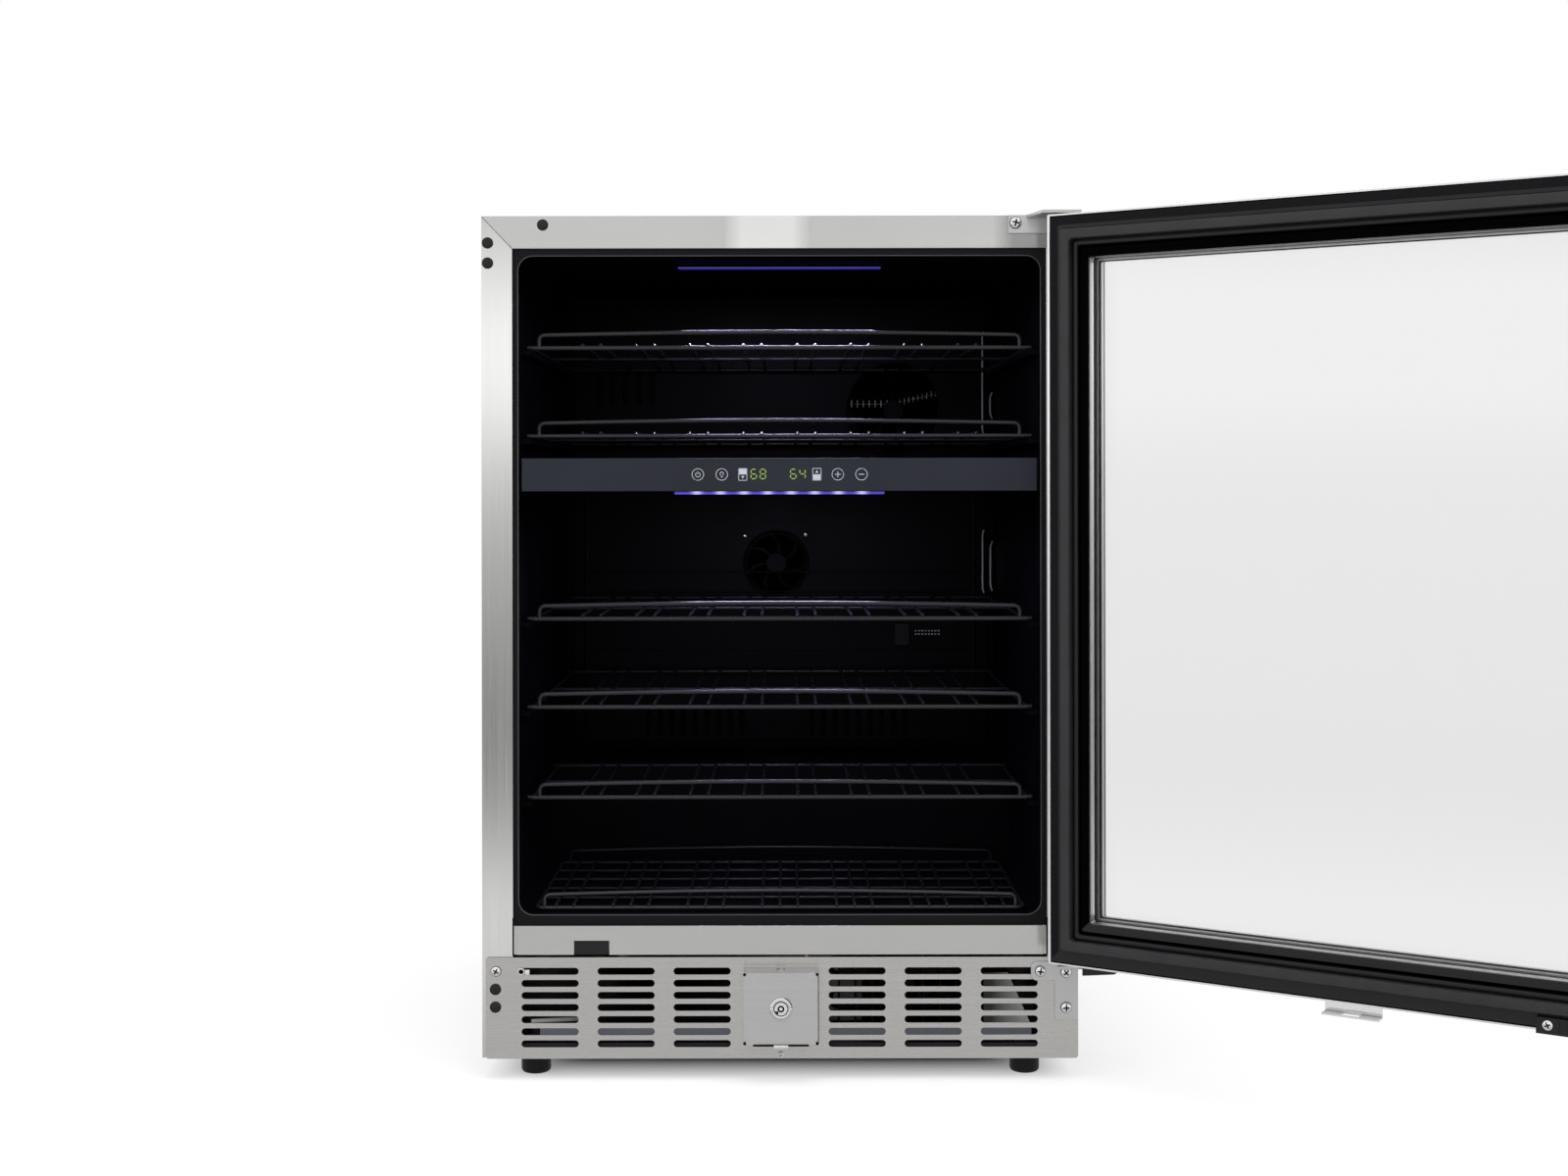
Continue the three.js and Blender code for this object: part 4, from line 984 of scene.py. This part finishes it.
def duct_details():
    refine("upper_duct_cover", LINER, 0.5)
    refine("lower_duct_cover", LINER, 0.5)
    refine("zone_divider", LINER, 0.6)
    refine("control_fascia", FASCIA, 0.6, 3)
    refine("control_board", BOARD, 0.2)
    refine("evaporator_upper", FIN, 0.6)
    refine("evaporator_lower", FIN, 0.6)
    refine("temperature_sensor", BLACK_PAINT_AND_SHADE, 0.8)
    front = cad("lower_duct_cover")[0].y
    for i, (x, z) in enumerate([(-42.8, 534), (30.8, 534.9)]):
        screw(f"lower_duct_screw_{i + 1}", (x, front, z), 2.6, 1.6, spin=25 * i)
    ribs = bmesh.new()
    for z in (489.5, 465.5, 395, 374):
        block(ribs, (-246, 246), (front - 2.2, front + 0.2), (z - 0.9, z + 0.9), 0.6)
    for x in (-236, 236):
        block(ribs, (x - 2.2, x + 2.2), (front - 3, front + 0.2), (300, 586), 1.2)
    finish_piece("duct_ribs", ribs, LINER)
    for name, x, z, radius in (("upper_fan_rim", 138, 687, 56.5), ("lower_fan_rim", -5, 500, 39.5)):
        rim = bmesh.new()
        tube(rim, hoop(x, front - 0.4, z, radius, 72), 1.2, 8, closed=True)
        finish_piece(name, rim, LINER)
    # Pale strands down the rear right corner: a painted highlight on the liner's rounded corner and the duct
    # cover's edge, drawn as thin tubes.
    highlight_strands = bmesh.new()
    for x, top, bottom in ((246.5, 784, 655), (246.5, 542, 462), (256, 526, 466), (256, 708, 676)):
        path = [(x + 3, front + 2, top), (x, front - 2, top - 6), (x, front - 2, bottom + 6),
                (x + 3, front + 2, bottom)]
        tube(highlight_strands, rounded_path(path, 5), 1.0, 10)
    finish_piece("corner_highlight_strands", highlight_strands, PALE_PLASTIC_AND_HIGHLIGHT)
    dots = bmesh.new()
    for column in range(8):
        x = 164 + 4 * column
        for z in (413.4, 417.4):
            block(dots, (x, x + 2), (front - 0.8, front + 0.2), (z - 0.8, z + 0.8), 0.3)
    finish_piece("sensor_grille", dots, PALE_PLASTIC_AND_HIGHLIGHT)
    # Short ticks and a wire drawn in front of the fins behind the upper fan; their pale grey is a painted
    # highlight where light catches them.
    comb = bmesh.new()
    tube(comb, [(80, front + 1, 694), (137, front + 1, 694), (196, front + 1, 708)], 0.5, 8)
    for tick in range(9):
        block(comb, (79.4 + 7.2 * tick, 80.6 + 7.2 * tick), (front + 0.4, front + 1.6), (690, 699), 0.3)
    for tick in range(10):
        z = 692 + 1.4 * tick
        block(comb, (145.5 + 5.5 * tick, 146.5 + 5.5 * tick), (front + 0.4, front + 1.6), (z, z + 8), 0.3)
    finish_piece("fan_guard_comb", comb, GUARD)


def fan_wheel(name, node, joint, body, radius, blades=7):
    """A domed hub with twisted, cambered blades."""
    low, high = cad(node)
    centre = Vector(next(j for j in frame["joints"] if j["name"] == joint)["pos_m"]) / MM
    depth = high.y - low.y
    hub = radius * 0.34
    bm = bmesh.new()
    dome = [(0, 0), (0.6, 0.02), (0.9, 0.12), (1, 0.3), (1, 0.9), (0, 0.9)]
    lathe(bm, [(hub * r, depth * d) for r, d in dome], (centre.x, low.y, centre.z), (0, 1, 0), 32)
    rows, columns = 7, 7
    for blade in range(blades):
        grid = []
        for row in range(rows + 1):
            u = row / rows
            r = hub * 0.93 + (radius - hub * 0.93) * u
            line = []
            for column in range(columns + 1):
                v = column / columns
                angle = 2 * math.pi * blade / blades + 0.35 * u * u + (0.62 + 0.16 * u) * (v - 0.5)
                y = low.y + depth * (0.5 + (0.62 - 0.16 * u) * (v - 0.5) + 0.16 * (1 - (2 * v - 1) ** 2))
                thick = 0.7 * (0.35 + 1 - (2 * v - 1) ** 2) * (1 - 0.4 * u)
                x, z = centre.x + r * math.cos(angle), centre.z + r * math.sin(angle)
                line.append((bm.verts.new((x, y - thick, z)), bm.verts.new((x, y + thick, z))))
            grid.append(line)
        for row in range(rows):
            for column in range(columns):
                corners = (grid[row][column], grid[row][column + 1],
                           grid[row + 1][column + 1], grid[row + 1][column])
                bm.faces.new([c[0] for c in corners])
                bm.faces.new([c[1] for c in reversed(corners)])
        tip_side = [line[-1] for line in grid[1:]]
        root_side = [line[0] for line in grid[-2:0:-1]]
        rim = grid[0] + tip_side + grid[-1][-2::-1] + root_side
        for a, b in zip(rim, rim[1:] + rim[:1]):
            bm.faces.new((a[0], b[0], b[1], a[1]))
    finish_piece(name, bm, FAN_PLASTIC, body, replaces=(node,))


def round_rod(radius, length):
    """Profile of a straight wire with rounded ends, from one end to the other."""
    return [(0, 0), (radius * 0.7, radius * 0.25), (radius, radius * 0.8), (radius, length - radius * 0.8),
            (radius * 0.7, length - radius * 0.25), (0, length)]


def hooked_wire(bm, x, front, back, heights):
    """A front-to-back wire with bent ends; the heights are those of its four corners."""
    depths = (front - 1.6, front + 1.2, back - 6, back - 1.5)
    tube(bm, rounded_path([(x, y, z) for y, z in zip(depths, heights)], 4), 1.7, 8)


def arched_rail(bm, half, y, foot, top, rise, radius, steps):
    """A wire that stands on two feet and arches by `rise` between them, with `steps` steps to each side."""
    across = [half * (i - steps) / steps for i in range(2 * steps + 1)]
    arch = [(x, y, top + rise * math.cos(math.pi / 2 * x / half)) for x in across]
    rail = [(-half, y, foot), *arch, (half, y, foot)]
    corners = rounded_path(rail[:3], 7)[:-1], rounded_path(rail[-3:], 7)[1:]
    tube(bm, corners[0] + rail[2:-2] + corners[1], radius, 12)


def wire_shelf(number):
    """A round-wire shelf: a frame, paired wires lying on it and an arched rail that keeps bottles in."""
    node = f"shelf_{number}"
    low, high = cad(node)
    thick = 2.4
    front, back = low.y + thick, high.y - thick
    half = high.x - thick
    z = low.z + thick + 0.1
    bm = bmesh.new()
    inset = 4
    for y in (front, back):
        lathe(bm, round_rod(thick, high.x - low.x - 0.6), (low.x + 0.3, y, z), (1, 0, 0), 14)
    for x in (-half + inset, half - inset):
        tube(bm, [(x, front, z - 0.6), (x, back, z - 0.6)], thick - 0.5, 12)
    y = front + (back - front) * 0.46
    tube(bm, [(-half + inset, y, z), (half - inset, y, z)], 2.1, 10)
    pair_pitch, half_pair = 54.8, 9.25
    for pair in range(8):
        for side in (-1, 1):
            x = (pair - 3.5) * pair_pitch + side * half_pair
            hooked_wire(bm, x, front, back, (z + 1.2, z + 3.4, z + 2.6, z - 1.0))
    arched_rail(bm, half - 11, front, z, z + 13, 3, 2.3, 12)
    finish_piece(f"wire_{node}", bm, WIRE, f"sliding_{node}", smooth=60, replaces=(node,))


def wire_rack():
    low, high = cad("bottom_rack")
    thick = 2.2
    front, back, half = low.y + thick, high.y - thick, high.x - thick
    z, upper = low.z + thick, high.z - thick
    bm = bmesh.new()
    loop = [(-half, front, z), (half, front, z), (half, back, z), (-half, back, z)]
    tube(bm, rounded_path(loop, 8, closed=True), thick, 12, closed=True)
    for y in (front, back):
        arched_rail(bm, half - 8, y, z, upper - 2, 4, 2.1, 10)
    for share in (0.2, 0.4, 0.6, 0.8):
        y = front + (back - front) * share
        tube(bm, [(-half, y, z), (half, y, z)], 1.9, 8)
    group_pitch, wire_gap = 75.4, 18
    for group in range(-3, 4):
        for offset in (-wire_gap, 0, wire_gap):
            x = group * group_pitch + offset
            if abs(x) < half - 4:
                hooked_wire(bm, x, front, back, (z + 1, z + 3.2, z + 2.8, z))
    finish_piece("wire_bottom_rack", bm, WIRE, smooth=60, replaces=("bottom_rack",))


# ---------- machine bay ----------


def machine_bay():
    refine("drip_pan", LINER, 0.5)
    refine("condenser_coil", BLACK_PAINT_AND_SHADE, 0.25)
    refine("condenser_fan_shroud", BLACK_PAINT_AND_SHADE, 0.4)
    refine("power_inlet", DOOR_PLASTIC, 0.7)
    # The rail and the gussets carry painted glow: painted light in the dark bay.
    pad = bmesh.new()
    block(pad, (-243, 254), (26, 27.5), (38.6, 47.6), 0.3)
    finish_piece("bay_rail", pad, PAD)
    left, right = bmesh.new(), bmesh.new()
    flat(left, [(-252, 51), (-204, 53), (-204, 56.4), (-252, 54.4)], 28, 29)
    finish_piece("bay_gusset_left", left, GUSSET_LEFT)
    flat(right, [(206, 50), (253, 50), (230.5, 101), (206, 101)], 28, 29)
    finish_piece("bay_gusset_right", right, GUSSET_RIGHT)
    low, high = cad("compressor")
    x, y, bottom, top = -130, 425, low.z, high.z
    can = bmesh.new()
    lathe(can, [(0, bottom + 6), (40, bottom + 6), (56, bottom + 12), (64, bottom + 24), (66, bottom + 34),
                (66, 99), (67, 101), (72, 101.6), (72, 109), (67, 110), (66, 112), (66, top - 44),
                (63, top - 28), (54, top - 12), (38, top - 3), (18, top - 0.5), (0, top)],
          (x, y, 0), (0, 0, 1), 48)
    block(can, (x - 84, x + 84), (y - 50, y + 50), (bottom, bottom + 3), 1.2)
    for dx in (-72, 72):
        for dy in (-38, 38):
            lathe(can, [(0, 0), (9, 0), (10, 1), (10, 4), (7, 5.5), (10, 7), (9.4, 8), (0, 8)],
                  (x + dx, y + dy, bottom), (0, 0, 1), 20)
    block(can, (x + 58, x + 85), (y - 25, y + 25), (70, 130), 3, 3)
    finish_piece("compressor_can", can, ENAMEL, replaces=("compressor",))
    line = [(-40, 425, 60), (10, 400, 50), (30, 330, 48), (30, 160, 48), (36, 70, 51), (50, 51, 55),
            (59, 51, 55)]
    pipe = bmesh.new()
    tube(pipe, rounded_path(line, 24), 3, 14)
    finish_piece("copper_line", pipe, COPPER, replaces=("refrigerant_line",))
    coil = bmesh.new()
    bends = []
    for row in range(5):
        z = 42 + row * 17
        ends = (52, 238) if row % 2 == 0 else (238, 52)
        bends += [(ends[0], 60, z), (ends[1], 60, z)]
    tube(coil, rounded_path(bends, 8), 2.6, 10)
    finish_piece("condenser_tube", coil, BLACK_PAINT_AND_SHADE)
    pins = bmesh.new()
    inlet_low, inlet_high = cad("power_inlet")
    middle = (inlet_low + inlet_high) / 2
    for dx, dz in ((-7, -2), (0, 4), (7, -2)):
        block(pins, (middle.x + dx - 2, middle.x + dx + 2), (inlet_high.y - 18, inlet_high.y - 3),
              (middle.z + dz - 1, middle.z + dz + 1), 0.4)
    finish_piece("inlet_pins", pins, NICKEL)


# ---------- door ----------


def door_frames():
    refine("door_outer_frame", DOOR_STEEL, 0.6)
    low, high = shut("door_outer_frame")
    outline = (low.x, high.x, low.z, high.z)
    back = shut("door_inner_frame")[1].y
    inner = bmesh.new()
    framed(inner, outline, [
        (1.8, -48.2, 2), (1.8, back - 1, 2), (2.8, back, 1.5), (14.6, back, 1.5), (15.5, back - 0.9, 1.5),
        (15.5, -13.3, 1.5), (26.7, -13.3, 1.5), (26.7, back - 2.6, 1.5), (27.6, back - 2.6, 1.5),
        (27.9, back + 0.4, 1.5), (28.6, back + 0.9, 1.5), (30.8, back + 0.9, 1.5), (31.6, back + 0.3, 1.5),
        (32.3, back - 1.5, 2), (32.6, back - 6, 2), (35.2, back - 6, 2), (35.5, back - 0.4, 2),
        (35.9, back, 2), (43.0, back, 3), (43.5, back - 0.5, 3), (43.5, -21.6, 3),
        (34.8, -21.6, 3), (34.8, -44.3, 3), (43.5, -44.3, 3), (43.5, -48.2, 3),
    ])
    finish_piece("door_liner_frame", inner, DOOR_PLASTIC, "door", 30,
                 ("door_inner_frame",))
    seal = bmesh.new()
    side = [(3.9, -12.9), (4.6, -11.5), (3.7, -9.6), (4.7, -7.8), (5.2, -5.2), (5.1, -2.2), (4.1, -0.9)]
    shape = [(21.1 - w, y) for w, y in side] + [(21.1, -0.6)] + [(21.1 + w, y) for w, y in reversed(side)]
    framed(seal, outline, [(inset, y, 3) for inset, y in shape])
    finish_piece("magnetic_seal", seal, SEAL, "door", 40, ("door_gasket",))
    hem = bmesh.new()
    framed(hem, outline, band(0.05, 1.65, back - 2.2, back + 0.05))
    block(hem, (high.x - 2.6, high.x - 0.05), (back - 1, back + 0.15), (low.z + 1.6, high.z - 1.6), 0.1, 1)
    finish_piece("door_hem", hem, HEM, "door")
    # Painted shade: a near-black band over the frame's outer land on the top and sides; the bottom keeps the
    # frame's own plastic, where light falls on it.
    land = bmesh.new()
    framed(land, outline, band(2.8, 11.0, back - 0.1, back + 0.07))
    drop_side(land, lambda middle: middle.z < low.z + 12)
    finish_piece("door_land_painted_shade", land, BLACK_PAINT_AND_SHADE, "door")
    # Painted shade: black bands over the glass channel, the groove, the joint behind the hem and the glass
    # edge; the channel band is left off along the bottom, where light falls on it.
    shadow_strips = bmesh.new()
    framed(shadow_strips, outline, band(35.7, 43.55, back - 0.1, back + 0.08))
    drop_side(shadow_strips, lambda middle: middle.z < low.z + 45)
    groove = [(32.4, 1.6), (32.7, 5.9), (35.1, 5.9), (35.4, 0.5), (35.3, 6.2), (32.3, 6.2)]
    framed(shadow_strips, outline, [(inset, back - depth, 2) for inset, depth in groove])
    framed(shadow_strips, outline, band(1.75, 2.95, back - 1.2, back + 0.05))
    framed(shadow_strips, outline, band(46.2, 46.6, -33, -26.4))
    finish_piece("door_shade_bands", shadow_strips, GAP, "door")
    trim = bmesh.new()
    framed(trim, outline, band(43.55, 43.9, -17, -11.4))
    drop_side(trim, lambda middle: middle.z > high.z - 45)
    finish_piece("glass_trim", trim, ALUMINIUM, "door")
    bead = bmesh.new()
    framed(bead, outline, band(43.55, 43.9, -20.6, -17))
    finish_piece("glass_bead", bead, HEM, "door")
    refine("glass_outer", GLASS_OUT, 0)
    refine("glass_inner", GLASS_IN, 0)
    refine("glass_spacer", ALUMINIUM, 0.3)


def door_hardware():
    low, high = shut("door_handle")
    radius = (high.x - low.x) / 2
    x, y = low.x + radius, low.y + radius
    length = high.z - low.z
    grip = bmesh.new()
    lathe(grip, [(0, 0), (radius - 1.6, 0), (radius - 0.5, 0.5), (radius, 1.6), (radius, length - 1.6),
                 (radius - 0.5, length - 0.5), (radius - 1.6, length), (0, length)],
          (x, y, low.z), (0, 0, 1), 40)
    for z in (low.z + 40, high.z - 40):
        reach = high.y - y
        lathe(grip, [(0, 0), (5.5, 0), (5.5, reach - 6), (6.5, reach - 4), (7.6, reach - 2.2), (7.6, reach),
                     (0, reach)], (x, y, z), (0, 1, 0), 28)
    finish_piece("handle_bar", grip, DOOR_STEEL, "door", 30, ("door_handle",))
    refine("door_catch", NICKEL, 0.5)
    refine("hinge_stop_block", DOOR_PLASTIC, 0.8)
    refine("corner_shoe", DOOR_PLASTIC, 0.8)
    screw("corner_shoe_screw", (-169.3, -2.5, 133.2), 4.3, 1.7, "door", "+Y", spin=22)
    ribs = bmesh.new()
    shoe_low, shoe_high = shut("corner_shoe")
    for i in range(9):
        rib = shoe_low.x + 5 + i * 7
        block(ribs, (rib - 0.8, rib + 0.8), (shoe_high.y - 0.4, shoe_high.y + 0.9),
              (shoe_low.z + 3, shoe_high.z - 2), 0.4)
    finish_piece("corner_shoe_ribs", ribs, DOOR_PLASTIC, "door")


# ---------- build ----------

cabinet_shell()
machine_cover()
kick_plate()
small_front_parts()
brackets()
lock()
feet()
printed_digits()
printed_icons()
light_bars()
duct_details()
fan_wheel("upper_fan_rotor", "upper_fan", "upper_fan_spin", "upper_fan_wheel", 50)
fan_wheel("lower_fan_rotor", "lower_fan", "lower_fan_spin", "lower_fan_wheel", 35)
fan_wheel("condenser_fan_rotor", "condenser_fan", "condenser_fan_spin", "condenser_fan_wheel", 41, 5)
for shelf_number in range(1, 6):
    wire_shelf(shelf_number)
wire_rack()
machine_bay()
door_frames()
door_hardware()


# ---------- stage, light and camera ----------


def floor():
    """A white floor that glows like the backdrop, and takes light and shadow only close to the object."""
    mesh = bpy.data.meshes.new("floor")
    size = 40
    corners = [(-size, -size, 0), (size, -size, 0), (size, size, 0), (-size, size, 0)]
    mesh.from_pydata(corners, [], [(0, 1, 2, 3)])
    g = Graph("studio_floor")
    grain = g.noise(30, 3)
    beside = g.math("SUBTRACT", g.math("ABSOLUTE", g.place("X")), 0.29)
    ahead = g.math("SUBTRACT", g.math("ABSOLUTE", g.math("SUBTRACT", g.place("Y"), 0.28)), 0.27)
    away = g.math("SMOOTH_MAX", beside, ahead, 0.05)
    glow = g.math("ADD", g.span(away, 0, 0.6, -0.065, 0.0), g.span(away, 0, 0.4, 0.0, 0.2))
    g.principled(Base_Color=g.blend(grain, (0.90, 0.90, 0.90, 1), (0.93, 0.93, 0.93, 1)), Roughness=0.9,
                 Specular_IOR_Level=0.0)
    light = g.node("Emission", {"Color": (1, 1, 1, 1), "Strength": 1.0}).outputs[0]
    both = g.node("MixShader", {0: glow, 1: g.surface.outputs[0], 2: light}).outputs[0]
    g.set(g.output.inputs["Surface"], both)
    mesh.materials.append(g.material)
    plane = bpy.data.objects.new("floor", mesh)
    bpy.context.scene.collection.objects.link(plane)
    plane.visible_glossy = False


def soft_light(name, place, target, size, power, colour=(1, 1, 1), mirrored=False):
    lamp = bpy.data.lights.new(name, "AREA")
    lamp.shape = "RECTANGLE"
    lamp.size, lamp.size_y = size
    lamp.energy = power
    lamp.color = colour
    obj = bpy.data.objects.new(name, lamp)
    obj.location = place
    obj.rotation_euler = (Vector(target) - Vector(place)).to_track_quat("-Z", "Y").to_euler()
    bpy.context.scene.collection.objects.link(obj)
    obj.visible_glossy = mirrored
    obj.visible_camera = False


def studio_world():
    """White behind the object; reflections see bands of light and dark by their height above the horizon."""
    world = bpy.data.worlds.new("studio")
    bpy.context.scene.world = world
    g = Nodes(world)
    where = g.node("TexCoord").outputs["Generated"]
    height = g.node("SeparateXYZ", {"Vector": where}).outputs["Z"]
    ramp = g.node("ValToRGB", {"Fac": g.span(height, 0, 1, -0.5, 0.5)})
    bands = [(-0.50, 0.55), (-0.29, 0.50), (-0.25, 0.80), (-0.225, 1.25), (-0.195, 1.25), (-0.165, 0.62),
             (-0.14, 0.26), (-0.12, 0.26), (-0.095, 0.44), (-0.05, 0.58), (0.0, 0.78), (0.02, 1.15),
             (0.045, 1.8), (0.095, 1.8), (0.12, 0.85), (0.16, 0.60), (0.50, 0.95)]
    elements = ramp.color_ramp.elements
    for place, light in bands[1:-1]:
        elements.new(place + 0.5)
    for element, (place, light) in zip(elements, bands):
        element.position = place + 0.5
        element.color = (light / 2, light / 2, light / 2, 1)
    glossy = g.node("Background", {"Color": ramp.outputs["Color"], "Strength": 2.0})
    backdrop = g.tree.nodes["Background"]
    g.set(backdrop.inputs["Color"], (1, 1, 1, 1))
    g.set(backdrop.inputs["Strength"], 1.0)
    mirrored = g.node("LightPath").outputs["Is Glossy Ray"]
    both = g.node("MixShader", {0: mirrored, 1: backdrop.outputs[0], 2: glossy.outputs[0]}).outputs[0]
    g.set(g.tree.nodes["World Output"].inputs["Surface"], both)


def camera():
    data = bpy.data.cameras.new("camera")
    data.lens = 46.125
    data.sensor_width = 36
    data.shift_y = -0.064375
    data.clip_end = 100
    obj = bpy.data.objects.new("camera", data)
    obj.location = (0.0046, -2.0063, 0.593)
    obj.rotation_euler = Euler((math.pi / 2, 0.0015, 0))
    bpy.context.scene.collection.objects.link(obj)
    bpy.context.scene.camera = obj


floor()
soft_light("top_light", (0.2, -1.4, 3.2), (0, 0, 0.4), (2.6, 2.0), 60)
soft_light("left_light", (-2.4, -1.8, 1.6), (0, 0, 0.5), (1.4, 1.8), 25)
soft_light("right_light", (2.6, -1.2, 1.8), (0, 0, 0.5), (1.4, 1.8), 25)
soft_light("upper_glow", (0, 0.10, 0.80), (0, 0.14, 0.3), (0.20, 0.02), 1.2, (0.7, 0.65, 1), True)
soft_light("lower_glow", (0, 0.06, 0.57), (0, 0.12, 0.1), (0.20, 0.02), 1.2, (0.7, 0.65, 1), True)
studio_world()
camera()
bpy.context.scene.view_settings.view_transform = "Standard"
